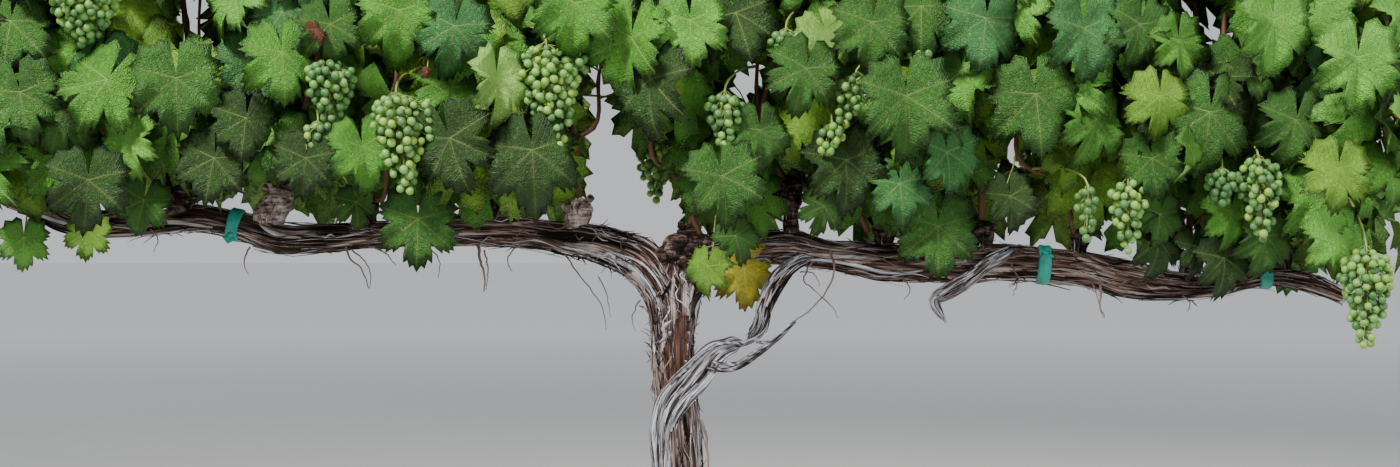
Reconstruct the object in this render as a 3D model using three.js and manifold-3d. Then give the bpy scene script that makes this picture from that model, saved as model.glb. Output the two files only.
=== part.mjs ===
// A grapevine trained on two horizontal arms, as it grows in a vineyard row in summer.
// Millimetres, +Z up. X runs along the row and Y across it, and the side that shows best faces -Y.
// The origin is the middle of the flat cut at ground level under the trunk.
import * as THREE from "three";
import { mergeVertices } from "three/addons/utils/BufferGeometryUtils.js";
import Module from "manifold-3d";

const wasm = await Module();
wasm.setup();

// Driving dimensions
const CORDON_HEIGHT = 930; // ground to the level of the two arms
const CROWN_RISE = 900; // the arms' level to the top of the foliage
const TIER_RISE = 430; // the arms' level to the split between lower and upper foliage
const CROWN_DROP = 150; // how far foliage may hang below the arms' level
const CROWN_HALF_DEPTH = 235; // half the foliage across the row, at its widest
const CROWN_REACH = 1056; // the trunk to the furthest leaf along the row
const GAP = 0.3; // clear space between neighbouring pieces
const LIMB_MARGIN = 2.5; // clear space that leaves keep round the wood
const CELL_MARGIN = 1; // clear space that a mass keeps to the edge of its own space

// Foliage. Leaves are fewer than on the living vine, and larger, so that the crown looks as full.
const LEAF_WIDTH = 178; // a full leaf across its side lobes
const LEAF_THICKNESS = 3;
const PETIOLE_RADIUS = 1.5;
const PETIOLE_RANGE = [50, 150];
const NODE_SPACING = 27; // along a shoot, from one place for a leaf to the next
const LEAF_SPACING = 44; // from the middle of one blade to the middle of the nearest
const COLUMN_SPACING = 130; // along the row, from shoot to shoot
const STEM_RADIUS = 6.5;
const SHOOT_RADIUS = 5.4;
const SHOOT_STEPS = 5;
const STEM_STEPS = { lower: 3, upper: 6 };
const BUNCH_STALK = { radius: 2.8, end: 2.4, steps: 2 };
const SHOOT_SWAY = [30, 62]; // how far shoots lean to the near and the far side by turns
const LEAF_TRIES = 24; // leaves tried on each side of each node

const BARK = { color: 0x6b5548, roughness: 0.95, metalness: 0 };
const WEATHERED = { color: 0x9a8f86, roughness: 0.95, metalness: 0 };
const LEAF_GREEN = { color: 0x4f7a35, roughness: 0.6, metalness: 0 };
const TAPE = { color: 0x0f9c86, roughness: 0.4, metalness: 0 };

// Wood. Each row is [x, y, rise above the arms' level, radius].
const TRUNK = [
  [2, 0, -1000, 46],
  [0, 0, -930, 45],
  [-2, 1, -830, 38],
  [-7, 4, -650, 34],
  [-16, 3, -450, 32],
  [-24, 0, -290, 30.5],
  [-33, -1, -170, 30],
  [-34, 0, -90, 33],
  [-31, 2, -44, 37],
  [-24, 4, -8, 27],
];
const CORDON_LEFT = [
  [-34, 0, -62, 29],
  [-78, -2, -36, 31],
  [-120, -2, -18, 27],
  [-161, 0, -8, 24],
  [-211, 3, -1, 20],
  [-262, 5, 5, 22],
  [-320, 2, 6, 21],
  [-386, -2, 3, 18],
  [-459, -5, 0, 17.5],
  [-516, -3, -4, 19],
  [-578, 2, -4, 21],
  [-640, 6, 13, 19],
  [-700, 4, 23, 18],
  [-787, -2, 13, 15],
  [-871, -8, 13, 15],
  [-940, -4, 52, 14.5],
  [-1012, 4, 76, 10],
];
const CORDON_RIGHT = [
  [-24, 6, -40, 24],
  [20, 7, -24, 25],
  [85, 4, -19, 23],
  [125, 0, -17, 24],
  [183, -4, -31, 16],
  [220, -2, -32, 23],
  [262, 2, -37, 27],
  [360, 5, -41, 25],
  [426, 3, -38, 25],
  [486, 0, -42, 23.5],
  [545, -3, -48, 23],
  [599, -5, -62, 25],
  [662, -2, -71, 20],
  [725, 3, -70, 15.5],
  [770, 6, -62, 13],
  [808, 5, -59, 12],
  [862, 2, -68, 12.5],
  [908, 0, -87, 10],
];
const TRUNK_FACETS = { sides: 11, steps: 16 };
const ARM_FACETS = { sides: 8, steps: 26 };
const SPUR_FACETS = { sides: 6, steps: 5 };
const ROOT_FLARE = { reach: 30, even: 0.7, uneven: 0.3, fall: 60, lobes: 4, turn: 0.6 };

// Loose bark and old wood that peels off the limbs. Each row is [x, y, rise, half width].
const STRAP_THICKNESS = 7;
const STRAP_FACETS = { sides: 6, steps: 8 };
const STRAP_LOWER = [
  [-36, -27, -470, 9],
  [-43, -24, -400, 12],
  [-46, -24, -330, 15],
  [-44, -27, -262, 18],
  [-28, -34, -224, 23],
  [0, -38, -192, 23],
  [24, -40, -164, 18],
  [46, -38, -153, 13],
  [68, -34, -147, 10],
];
const STRAP_UPPER = [
  [70, -34, -146, 10],
  [86, -32, -130, 11],
  [98, -30, -92, 11],
  [115, -28, -58, 12],
  [140, -27, -38, 10],
  [164, -21, -31, 8],
];
const STRAP_HANGING = [
  [442, -17, -21, 9],
  [408, -24, -38, 10],
  [380, -30, -59, 10],
  [348, -38, -78, 9],
  [330, -38, -90, 8],
  [345, -38, -122, 4],
];

// Spurs, the pruned heads that the shoots grow from: where each stands on the row, how its head leans,
// how far the head's top rises above the arms' level, and the radius of its neck and of its head.
const SPURS = [
  { x: -890, lean: 4, top: 72, neck: 10, head: 16 },
  { x: -722, lean: 1, top: 97, neck: 22, head: 23 },
  { x: -606, lean: 20, top: 69, neck: 20, head: 21 },
  { x: -459, lean: -4, top: 58, neck: 13, head: 19 },
  { x: -291, lean: 6, top: 60, neck: 12, head: 17 },
  { x: -172, lean: 6, top: 54, neck: 15, head: 21 },
  { x: -20, lean: 10, top: 16, neck: 16, head: 18 },
  { x: 134, lean: -5, top: 85, neck: 9, head: 20 },
  { x: 262, lean: 4, top: 36, neck: 12, head: 19 },
  { x: 405, lean: -5, top: 22, neck: 12, head: 17 },
  { x: 535, lean: 3, top: 14, neck: 9, head: 13 },
  { x: 685, lean: 5, top: -20, neck: 9, head: 13 },
  { x: 828, lean: -3, top: -18, neck: 8, head: 11 },
];
const TRUNK_SPUR = 6; // the one that stands on the trunk's head

// The first, third and so on carry the lower masses, and the others the upper, whose stems rise through.
const isUpper = (i) => i % 2 === 1;
const LOWER_EDGES = [-1056, -722, -433, -97, 120, 405, 700, 1026];
const UPPER_EDGES = [-1040, -600, -310, -20, 270, 545, 1008];

// The faces between neighbouring spaces slant across the row, so that no gap between them shows through.
const ROW_SLANT = 0.3;
const TIER_SLANT = 0.65;

// Bunches of grapes: x and rise of the bunch's top, length, width, and 1 for the side away from the viewer.
const BUNCHES = [
  [-817, 334, 105, 88, 0],
  [-492, 239, 125, 78, 0],
  [-403, 186, 132, 84, 0],
  [-194, 258, 150, 96, 0],
  [39, 196, 90, 66, 0],
  [117, 279, 70, 60, 0],
  [200, 215, 125, 70, 0],
  [302, 250, 60, 52, 0],
  [523, 78, 62, 42, 0],
  [581, 80, 104, 62, 0],
  [745, 107, 118, 86, 0],
  [902, -13, 142, 88, 0],
  [-760, 130, 120, 74, 1],
  [-330, 150, 130, 80, 1],
  [-60, 170, 120, 70, 1],
  [330, 120, 125, 76, 1],
  [500, 150, 115, 72, 1],
  [860, 120, 125, 78, 1],
];
const BUNCH_DEPTH = 125; // from the row's middle to a bunch's axis

// Gaps in the foliage that go right through it: x from and to, rise from and to.
const WINDOWS = [
  [-150, -30, -30, 132],
  [425, 475, -10, 95],
];

// Single leaves that hang over the arms on the near side: x, rise of the leaf's junction, width.
const LOW_LEAVES = [
  [-940, 12, 112],
  [-386, 34, 118],
  [52, 20, 84],
  [84, -14, 70],
  [212, 60, 100],
  [349, 20, 116],
  [700, 2, 96],
];
const FREE_DEPTH = 66; // how far in front of the row's middle a hanging leaf keeps clear of the wood

// Ties of soft tape round the arms: the arm and the tie's x.
const TIES = [
  { arm: "left", x: -851 },
  { arm: "left", x: -646 },
  { arm: "right", x: 486 },
  { arm: "right", x: 798 },
];
const TIE = { width: 18, thickness: 2.2, sides: 12 };

const vector = (x, y, z) => new THREE.Vector3(x, y, z);

// A repeatable source of numbers from 0 to 1.
function seeded(seed) {
  let state = seed >>> 0;
  return () => {
    state = (state + 0x6d2b79f5) >>> 0;
    let mixed = Math.imul(state ^ (state >>> 15), 1 | state);
    mixed = (mixed + Math.imul(mixed ^ (mixed >>> 7), 61 | mixed)) ^ mixed;
    return ((mixed ^ (mixed >>> 14)) >>> 0) / 4294967296;
  };
}

// Turns a closed geometry into a solid that can be cut and joined.
function solidOf(geometry) {
  geometry.deleteAttribute("normal");
  geometry.deleteAttribute("uv");
  const merged = mergeVertices(geometry, 1e-4);
  return new wasm.Manifold(
    new wasm.Mesh({
      numProp: 3,
      vertProperties: merged.attributes.position.array,
      triVerts: new Uint32Array(merged.index.array),
    }),
  );
}

// The largest body of a cut or joined solid, without the loose scraps and slivers that the cut left.
const SLIVER = 0.05;
const largest = (solid) =>
  solid
    .asOriginal()
    .simplify(SLIVER)
    .decompose()
    .reduce((best, body) => (body.volume() > best.volume() ? body : best));

// A limb: a smooth line through its stations, and its radius all along it.
const LINE_SAMPLES = 400;
class Limb {
  constructor(stations) {
    this.points = stations.map(([x, y, rise]) => vector(x, y, CORDON_HEIGHT + rise));
    this.radii = stations.map((station) => station[3]);
    this.curve = new THREE.CatmullRomCurve3(this.points, false, "centripetal");
    this.curve.arcLengthDivisions = 40 * stations.length;
    const lengths = this.curve.getLengths();
    const last = stations.length - 1;
    const total = lengths[lengths.length - 1];
    this.shares = this.points.map(
      (_, i) => lengths[Math.round((i / last) * (lengths.length - 1))] / total,
    );
  }

  radiusAt(share) {
    let i = 1;
    while (i < this.shares.length - 1 && this.shares[i] < share) i += 1;
    const span = this.shares[i] - this.shares[i - 1];
    const along = THREE.MathUtils.clamp((share - this.shares[i - 1]) / span, 0, 1);
    const eased = along * along * (3 - 2 * along);
    return THREE.MathUtils.lerp(this.radii[i - 1], this.radii[i], eased);
  }

  // Where along its length a limb that runs along the row passes a given x.
  shareAtX(x) {
    const samples = Array.from({ length: LINE_SAMPLES + 1 }, (_, i) => i / LINE_SAMPLES);
    const miss = (share) => Math.abs(this.curve.getPointAt(share).x - x);
    return samples.reduce((best, share) => (miss(share) < miss(best) ? share : best));
  }

  pointAtX(x) {
    return this.curve.getPointAt(this.shareAtX(x));
  }
}

// Bends a unit cylinder along a line. across(share, angle) gives the distance of the skin from the line,
// and level, for a flat limb, gives its width in the plane of the row and its thickness across the row.
function bentCylinder(curve, sides, steps, across, level) {
  const geometry = new THREE.CylinderGeometry(1, 1, 1, sides, steps);
  const frames = curve.computeFrenetFrames(steps, false);
  const position = geometry.attributes.position;
  for (let i = 0; i < position.count; i += 1) {
    const share = position.getY(i) + 0.5;
    const ring = Math.round(share * steps);
    const tangent = frames.tangents[ring];
    let normal = frames.normals[ring];
    if (level) normal = vector(0, 1, 0).cross(tangent).normalize();
    const third = normal.clone().cross(tangent);
    const a = position.getX(i);
    const b = position.getZ(i);
    const angle = Math.atan2(b, a);
    const wide = across(share, angle);
    const thick = level ? level(share) : wide;
    const point = curve.getPointAt(share);
    point.addScaledVector(normal, a * wide).addScaledVector(third, b * thick);
    position.setXYZ(i, point.x, point.y, point.z);
  }
  return solidOf(geometry);
}

// Rough bark in the solid's own outline: long ribs that wind slowly round the limb.
const RIB_HEIGHT = 0.05;
const ribbed = (share, angle, ribs, twist) =>
  1 + RIB_HEIGHT * Math.sin(ribs * angle + twist * share);

function roundLimb(limb, { sides, steps }, grow = 0, twist = 14) {
  return bentCylinder(
    limb.curve,
    sides,
    steps,
    (share, angle) => limb.radiusAt(share) * ribbed(share, angle, 3, twist) + grow,
  );
}

function trunkLimb(limb, grow = 0) {
  const flare = (share, angle) => {
    const height = limb.curve.getPointAt(share).z;
    const lobe = ROOT_FLARE.even + ROOT_FLARE.uneven * Math.cos(ROOT_FLARE.lobes * angle + ROOT_FLARE.turn);
    return ROOT_FLARE.reach * lobe * Math.exp(-Math.max(height, 0) / ROOT_FLARE.fall);
  };
  const skin = (share, angle) =>
    limb.radiusAt(share) * ribbed(share, angle, 3, 9) + flare(share, angle) + grow;
  return bentCylinder(limb.curve, TRUNK_FACETS.sides, TRUNK_FACETS.steps, skin);
}

function strap(stations, grow = 0) {
  const limb = new Limb(stations);
  return bentCylinder(
    limb.curve,
    STRAP_FACETS.sides,
    STRAP_FACETS.steps,
    (share) => limb.radiusAt(share) + grow,
    () => STRAP_THICKNESS / 2 + grow,
  );
}

// A spur rises from its arm through a neck to a knobbly head. Shares of its rise to the head, of its lean,
// and of its neck's or head's radius, from the foot up.
const SPUR_PROFILE = [
  { up: 0, aside: 0, neckShare: 1.15 },
  { up: 0.55, aside: 0.35, neckShare: 1 },
  { up: 0.85, aside: 0.8, headShare: 0.9 },
];
const SPUR_HEAD = { below: 0.8, crown: 0.55 };

function spurLimb({ lean, top, neck, head }, foot) {
  const headMiddle = CORDON_HEIGHT + top - head;
  const rise = (share) => THREE.MathUtils.lerp(foot.z, headMiddle, share) - CORDON_HEIGHT;
  const stem = SPUR_PROFILE.map(({ up, aside, neckShare = 0, headShare = 0 }) => [
    foot.x + lean * aside,
    foot.y,
    rise(up),
    neck * neckShare + head * headShare,
  ]);
  return new Limb([
    ...stem,
    [foot.x + lean, foot.y, top - head * SPUR_HEAD.below, head],
    [foot.x + lean, foot.y, top, head * SPUR_HEAD.crown],
  ]);
}

const spurSolid = (limb, grow = 0) => roundLimb(limb, SPUR_FACETS, grow, 5);

// A soft band round an arm, before the arm's own shape is cut out of it.
function tieSolid(limb, x) {
  const curve = new THREE.CatmullRomCurve3(
    [-1, 0, 1].map((side) => limb.pointAtX(x + (side * TIE.width) / 2)),
  );
  const apothem = limb.radiusAt(limb.shareAtX(x)) * (1 + RIB_HEIGHT) + TIE.thickness;
  return bentCylinder(curve, TIE.sides, 1, () => apothem / Math.cos(Math.PI / TIE.sides));
}

// A leaf on its stalk, as one closed solid of 20 faces. The blade hangs from its junction along a midrib.
const BLADE = {
  tip: [0, 0.62, -0.1],
  side: [0.5, 0.26, -0.05],
  basal: [0.36, -0.24, -0.04],
  sinus: [0.03, -0.035, -0.004],
  middle: -0.01,
};

function leafPoints({ root, junction, midrib, normal, width }) {
  const across = midrib.clone().cross(normal).normalize();
  const at = (u, v, w) =>
    junction
      .clone()
      .addScaledVector(across, u * width)
      .addScaledVector(midrib, v * width)
      .addScaledVector(normal, w);
  const pair = ([u, v, w]) => [at(u, v, w * width), at(-u, v, w * width)];
  const [sideR, sideL] = pair(BLADE.side);
  const [basalR, basalL] = pair(BLADE.basal);
  const [sinusR, sinusL] = pair(BLADE.sinus);
  const tip = at(BLADE.tip[0], BLADE.tip[1], BLADE.tip[2] * width);
  const top = at(0, BLADE.middle, LEAF_THICKNESS / 2);
  const bottom = at(0, BLADE.middle, -LEAF_THICKNESS / 2);
  const stalk = junction.clone().sub(root).normalize();
  const up = normal.clone().sub(midrib);
  up.addScaledVector(stalk, -up.dot(stalk)).normalize();
  const right = across.clone().addScaledVector(stalk, -across.dot(stalk)).normalize();
  const foot = (r, u) =>
    root.clone().addScaledVector(right, r * PETIOLE_RADIUS).addScaledVector(up, u * PETIOLE_RADIUS);
  const feet = [foot(-0.9, 0.5), foot(0.9, 0.5), foot(0, -1)];
  return [top, bottom, tip, sideR, sideL, basalR, basalL, sinusR, sinusL, ...feet];
}

// Corners in the order of leafPoints: the upper fan, the lower fan, the stalk and its cut end.
const LEAF_FACES = [
  [0, 7, 5], [0, 5, 3], [0, 3, 2], [0, 2, 4], [0, 4, 6], [0, 6, 8],
  [1, 5, 7], [1, 3, 5], [1, 2, 3], [1, 4, 2], [1, 6, 4], [1, 8, 6],
  [0, 8, 9], [0, 9, 10], [0, 10, 7], [1, 11, 8], [1, 7, 11],
  [9, 8, 11], [7, 10, 11], [10, 9, 11],
];

function leafSolid(points) {
  const geometry = new THREE.BufferGeometry().setFromPoints(points);
  geometry.setIndex(LEAF_FACES.flat());
  return new wasm.Manifold(
    new wasm.Mesh({
      numProp: 3,
      vertProperties: geometry.attributes.position.array,
      triVerts: new Uint32Array(geometry.index.array),
    }),
  );
}

// Whether part of a leaf is inside out, as where its stalk doubles back through its blade: a ray from just
// behind one of its faces then leaves no material on its way out.
const BOTH_SIDES = new THREE.MeshBasicMaterial({ side: THREE.DoubleSide });
const PROBE = { depth: 0.02, heading: vector(0.5773, 0.6124, 0.5401).normalize() };

function insideOut(points) {
  const geometry = new THREE.BufferGeometry().setFromPoints(points).setIndex(LEAF_FACES.flat());
  const mesh = new THREE.Mesh(geometry, BOTH_SIDES);
  return LEAF_FACES.some((corners) => {
    const face = new THREE.Triangle(...corners.map((corner) => points[corner]));
    const behind = face.getMidpoint(vector());
    behind.addScaledVector(face.getNormal(vector()), -PROBE.depth);
    const crossed = new THREE.Raycaster(behind, PROBE.heading).intersectObject(mesh);
    return crossed.length % 2 === 0;
  });
}

// The straight stretches that a twig's middle line has once it is made in steps.
function straightened(curve, steps) {
  const path = new THREE.CurvePath();
  const corners = curve.getSpacedPoints(steps);
  corners.slice(1).forEach((corner, i) => path.add(new THREE.LineCurve3(corners[i], corner)));
  return path;
}

// A three-sided twig through its points, thinning from one radius to another.
function twigSolid(points, from, to, steps) {
  const curve = new THREE.CatmullRomCurve3(points, false, "centripetal");
  return bentCylinder(curve, 3, steps, (share) => THREE.MathUtils.lerp(from, to, share));
}

// A bunch of grapes: a tapering body with a knob for each cluster of berries.
const BUNCH_FACETS = { columns: 6, rows: 5, knob: 1.1, hollow: 0.88 };

function bunchSolid(top, length, width) {
  const { columns, rows, knob, hollow } = BUNCH_FACETS;
  const geometry = new THREE.SphereGeometry(1, columns, rows);
  const position = geometry.attributes.position;
  for (let i = 0; i < position.count; i += 1) {
    const down = (1 - position.getY(i)) / 2;
    const around = Math.atan2(position.getZ(i), position.getX(i)) / (2 * Math.PI);
    const column = Math.round(around * columns + columns);
    const row = Math.round((Math.acos(position.getY(i)) / Math.PI) * rows);
    const bulge = (column + row) % 2 ? knob : hollow;
    const radius = (width / 2) * (1.2 - 0.6 * down) * bulge;
    const x = top.x + position.getX(i) * radius;
    const y = top.y - position.getZ(i) * radius;
    position.setXYZ(i, x, y, top.z - down * length);
  }
  return solidOf(geometry);
}

// How far the foliage may reach across the row at a given rise, for its rounded cross-section.
const CROWN_BELLY = { rise: 260, above: 730, below: 480 };

function depthAt(rise) {
  const half = rise > CROWN_BELLY.rise ? CROWN_BELLY.above : CROWN_BELLY.below;
  const offset = (rise - CROWN_BELLY.rise) / half;
  return CROWN_HALF_DEPTH * Math.sqrt(Math.max(0, 1 - offset ** 2));
}

const inWindow = (x, rise) =>
  WINDOWS.some(([from, to, low, high]) => x > from && x < to && rise > low && rise < high);

// Whether a leaf there would hide a bunch on its own side of the row.
const hidesBunch = (x, rise, side) =>
  BUNCHES.some(([bunchX, top, length, width, far]) => {
    const beside = Math.abs(x - bunchX) > width * 0.75;
    const outside = rise > top + 25 || rise < top - length - 20;
    return !beside && !outside && side === (far ? 1 : -1);
  });

const FIRST_SEED = 1000; // for the first mass's random numbers
const SEED_STEP = 79;

const bladeMiddle = (leaf) => leaf.junction.clone().addScaledVector(leaf.midrib, leaf.width * 0.2);
const placed = []; // the middles of all blades so far
const spread = (middle, leaf) => middle.distanceTo(bladeMiddle(leaf));

// One mass of foliage: a stem from its spur, shoots that fan out to even columns and climb, a pair of
// leaves at each of their nodes, and the bunches that hang in its space.
class Mass {
  constructor(index, ends, edges, obstacles) {
    Object.assign(this, { ends, edges });
    this.inTheWay = [obstacles];
    this.upper = isUpper(index);
    this.random = seeded(FIRST_SEED + SEED_STEP * index);
    this.pieces = [];
    this.nodes = [];
  }

  between(from, to) {
    return THREE.MathUtils.lerp(from, to, this.random());
  }

  // Where this space starts and ends along the row, at a given distance from the row's middle.
  reach(y) {
    return this.edges.map((edge) => (this.ends.includes(edge) ? edge : edge + ROW_SLANT * y));
  }

  holds({ x, y, z }) {
    const [from, to] = this.reach(y);
    const rise = z - CORDON_HEIGHT;
    const split = TIER_RISE + TIER_SLANT * y;
    const low = this.upper ? split : -CROWN_DROP;
    const high = this.upper ? CROWN_RISE : split;
    const inRow = x > from + CELL_MARGIN && x < to - CELL_MARGIN;
    const inTier = rise > low + CELL_MARGIN && rise < high - CELL_MARGIN;
    return inRow && inTier && Math.abs(y) < depthAt(rise);
  }

  fits(leaf) {
    const middle = bladeMiddle(leaf);
    const rise = middle.z - CORDON_HEIGHT;
    const clear = !inWindow(middle.x, rise) && !hidesBunch(middle.x, rise, Math.sign(middle.y));
    return clear && leafPoints(leaf).every((point) => this.holds(point));
  }

  fuse(leaf) {
    const points = leafPoints(leaf);
    if (insideOut(points)) return false;
    const solid = leafSolid(points);
    if (this.inTheWay.some((other) => !solid.intersect(other).isEmpty())) return false;
    this.inTheWay.push(solid);
    this.pieces.push(solid);
    placed.push(bladeMiddle(leaf));
    return true;
  }

  // A leaf on one side of the row: its stalk leans out from the shoot and its blade hangs down and out,
  // and lies flatter towards the top of the vine.
  leafFrom(root, side, scale) {
    const rise = root.z - CORDON_HEIGHT;
    const flat = THREE.MathUtils.smoothstep(rise, 500, CROWN_RISE);
    const depth = side * depthAt(rise) * this.between(0.3, 0.84);
    const junction = vector(
      root.x + this.between(-115, 115),
      depth,
      root.z + this.between(-45, 85 - 40 * flat),
    );
    const turn = this.between(-0.5, 0.5) + (junction.x - root.x) / 220;
    const midrib = vector(turn, side * (this.between(0.1, 0.5) + 0.9 * flat), -1 + 0.5 * flat);
    midrib.normalize();
    const normal = vector(turn * 0.5, side, this.between(0.2, 0.6) + flat);
    normal.addScaledVector(midrib, -normal.dot(midrib)).normalize();
    const width = LEAF_WIDTH * scale * this.between(0.84, 1.06);
    return { root, junction, midrib, normal, width };
  }

  // Leaves at the nodes, each time the one that lies furthest from the leaves so far, until they are
  // as close as they should be.
  addLeaves() {
    const [shortest, longest] = PETIOLE_RANGE;
    const tries = this.nodes.flatMap(({ root, scale }) =>
      Array.from({ length: 2 * LEAF_TRIES }, (_, i) => this.leafFrom(root, i % 2 ? 1 : -1, scale)),
    );
    let open = tries
      .filter((leaf) => {
        const length = leaf.junction.distanceTo(leaf.root);
        return length > shortest && length < longest && this.fits(leaf);
      })
      .map((leaf) => ({ leaf, room: Math.min(...placed.map((other) => spread(other, leaf))) }));
    while (open.length > 0) {
      const best = open.reduce((one, other) => (other.room > one.room ? other : one));
      if (best.room < LEAF_SPACING) break;
      open = open.filter((one) => one !== best);
      if (!this.fuse(best.leaf)) continue;
      open = open.filter(({ leaf }) => leaf.root !== best.leaf.root);
      const middle = placed.at(-1);
      for (const one of open) one.room = Math.min(one.room, spread(middle, one.leaf));
    }
  }

  growShoot(start, columnX, topRise, side) {
    const lean = side * this.between(...SHOOT_SWAY);
    const points = [start];
    for (const share of [0.12, 0.4, 0.7, 1]) {
      const x = columnX + this.between(-14, 14);
      const y = lean * (1 - 0.5 * share) + this.between(-12, 12);
      points.push(vector(x, y, THREE.MathUtils.lerp(start.z, CORDON_HEIGHT + topRise, share)));
    }
    this.pieces.push(twigSolid(points, SHOOT_RADIUS, SHOOT_RADIUS * 0.65, SHOOT_STEPS));
    const curve = new THREE.CatmullRomCurve3(points, false, "centripetal");
    const line = straightened(curve, SHOOT_STEPS);
    const count = Math.floor(curve.getLength() / NODE_SPACING);
    for (let i = 1; i <= count; i += 1) {
      const share = (i - 0.25) / count;
      const root = line.getPoint(share);
      const scale = this.upper ? 1 - 0.3 * share ** 3 : 1;
      this.nodes.push({ root, scale });
    }
  }

  // A low leaf in front of the wood, on a long stalk from the nearest node above it.
  hangLeaf([x, rise, width]) {
    const junction = vector(x, -FREE_DEPTH, CORDON_HEIGHT + rise);
    const { root } = this.nodeNear(junction, 30);
    const midrib = vector(this.between(-0.2, 0.2), -0.16, -1).normalize();
    const normal = vector(this.between(-0.2, 0.2), -1, 0.3);
    normal.addScaledVector(midrib, -normal.dot(midrib)).normalize();
    this.fuse({ root, junction, midrib, normal, width });
  }

  nodeNear(point, above) {
    const higher = this.nodes.filter(({ root }) => root.z > point.z + above);
    return (higher.length ? higher : this.nodes).reduce((best, node) =>
      node.root.distanceTo(point) < best.root.distanceTo(point) ? node : best,
    );
  }

  hangBunch([x, rise, length, width, far]) {
    const side = far ? 1 : -1;
    const room = width * 0.8;
    const [from, to] = this.reach(side * BUNCH_DEPTH);
    const inside = THREE.MathUtils.clamp(x, from + room, to - room);
    const top = vector(inside, side * BUNCH_DEPTH, CORDON_HEIGHT + rise);
    const { root } = this.nodeNear(top, 12);
    const bend = root.clone().lerp(top, 0.6).add(vector(0, side * 12, 14));
    const sunk = top.clone().setZ(top.z - 16);
    const bunch = bunchSolid(top, length, width);
    const stalk = twigSolid(
      [root, bend, sunk],
      BUNCH_STALK.radius,
      BUNCH_STALK.end,
      BUNCH_STALK.steps,
    );
    this.inTheWay.push(bunch);
    this.pieces.push(bunch, stalk);
  }

  solid(cutter) {
    return largest(this.pieces.reduce((all, piece) => all.add(piece)).subtract(cutter));
  }
}

// The wood, each piece cut clear of the ones it grows from.
const trunk = new Limb(TRUNK);
const left = new Limb(CORDON_LEFT);
const right = new Limb(CORDON_RIGHT);
const ground = solidOf(new THREE.BoxGeometry(600, 600, 300).translate(0, 0, -150));
const trunkSolid = trunkLimb(trunk).subtract(ground);
const trunkCutter = trunkLimb(trunk, GAP);
const leftSolid = largest(roundLimb(left, ARM_FACETS).subtract(trunkCutter));
const leftCutter = roundLimb(left, ARM_FACETS, GAP);
const rightSolid = largest(roundLimb(right, ARM_FACETS).subtract(trunkCutter.add(leftCutter)));
const rightCutter = roundLimb(right, ARM_FACETS, GAP);
const limbCutter = trunkCutter.add(leftCutter).add(rightCutter);

const spurs = SPURS.map((spur, i) => {
  const foot = (spur.x < 0 ? left : right).pointAtX(spur.x);
  if (i === TRUNK_SPUR) foot.set(spur.x, 4, CORDON_HEIGHT - 40);
  return spurLimb(spur, foot);
});
const spurCutter = spurs.map((limb) => spurSolid(limb, GAP)).reduce((all, one) => all.add(one));

const straps = {
  bark_strap_lower: strap(STRAP_LOWER),
  bark_strap_upper: strap(STRAP_UPPER),
  bark_strap_hanging: strap(STRAP_HANGING),
};
const strapLowerCutter = strap(STRAP_LOWER, GAP);
const ties = TIES.map(({ arm, x }) => tieSolid(arm === "left" ? left : right, x));

const solids = new Map();
solids.set("trunk", [largest(trunkSolid), BARK]);
solids.set("arm_left", [leftSolid, BARK]);
solids.set("arm_right", [rightSolid, BARK]);
spurs.forEach((limb, i) => {
  const name = `spur_${String(i + 1).padStart(2, "0")}`;
  solids.set(name, [largest(spurSolid(limb).subtract(limbCutter)), BARK]);
});
const woodCutter = limbCutter.add(spurCutter);
for (const [name, solid] of Object.entries(straps)) {
  const cutter = name === "bark_strap_upper" ? woodCutter.add(strapLowerCutter) : woodCutter;
  solids.set(name, [largest(solid.subtract(cutter)), WEATHERED]);
}
ties.forEach((solid, i) => {
  solids.set(`tie_${i + 1}`, [largest(solid.subtract(limbCutter)), TAPE]);
});

// What leaves keep clear of: the wood with a margin round it.
const woodClearance = [
  trunkLimb(trunk, LIMB_MARGIN),
  roundLimb(left, ARM_FACETS, LIMB_MARGIN),
  roundLimb(right, ARM_FACETS, LIMB_MARGIN),
  ...spurs.map((limb) => spurSolid(limb, LIMB_MARGIN)),
  ...[STRAP_LOWER, STRAP_UPPER, STRAP_HANGING].map((stations) => strap(stations, LIMB_MARGIN)),
  ...ties,
].reduce((all, one) => all.add(one));

const spurTip = (i) => spurs[i].points.at(-1).clone();

// The stem of an upper mass rises through the lower foliage to the split between the tiers.
function upperStem(i) {
  const tip = spurTip(i);
  const column = THREE.MathUtils.clamp(
    tip.x,
    UPPER_EDGES[(i - 1) / 2] + 60,
    UPPER_EDGES[(i + 1) / 2] - 60,
  );
  return [
    tip.clone().add(vector(0, 0, -6)),
    vector(tip.x, 0, tip.z + 60),
    vector(THREE.MathUtils.lerp(tip.x, column, 0.6), 0, CORDON_HEIGHT + TIER_RISE * 0.6),
    vector(column, 0, CORDON_HEIGHT + TIER_RISE + 20),
  ];
}
const upperStems = SPURS.map((_, i) => (isUpper(i) ? upperStem(i) : null));
const stemsGrown = (grow) =>
  upperStems
    .filter(Boolean)
    .map((points) => twigSolid(points, STEM_RADIUS + grow, STEM_RADIUS + grow, STEM_STEPS.upper))
    .reduce((all, one) => all.add(one));
const stemClearance = stemsGrown(LIMB_MARGIN);
const stemCutter = stemsGrown(2 * GAP);

// The short stem of a lower mass.
function lowerStem(i) {
  const tip = spurTip(i);
  return [[0, 0, -6], [2, 0, 30], [-3, 4, 66]].map((step) => tip.clone().add(vector(...step)));
}

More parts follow.
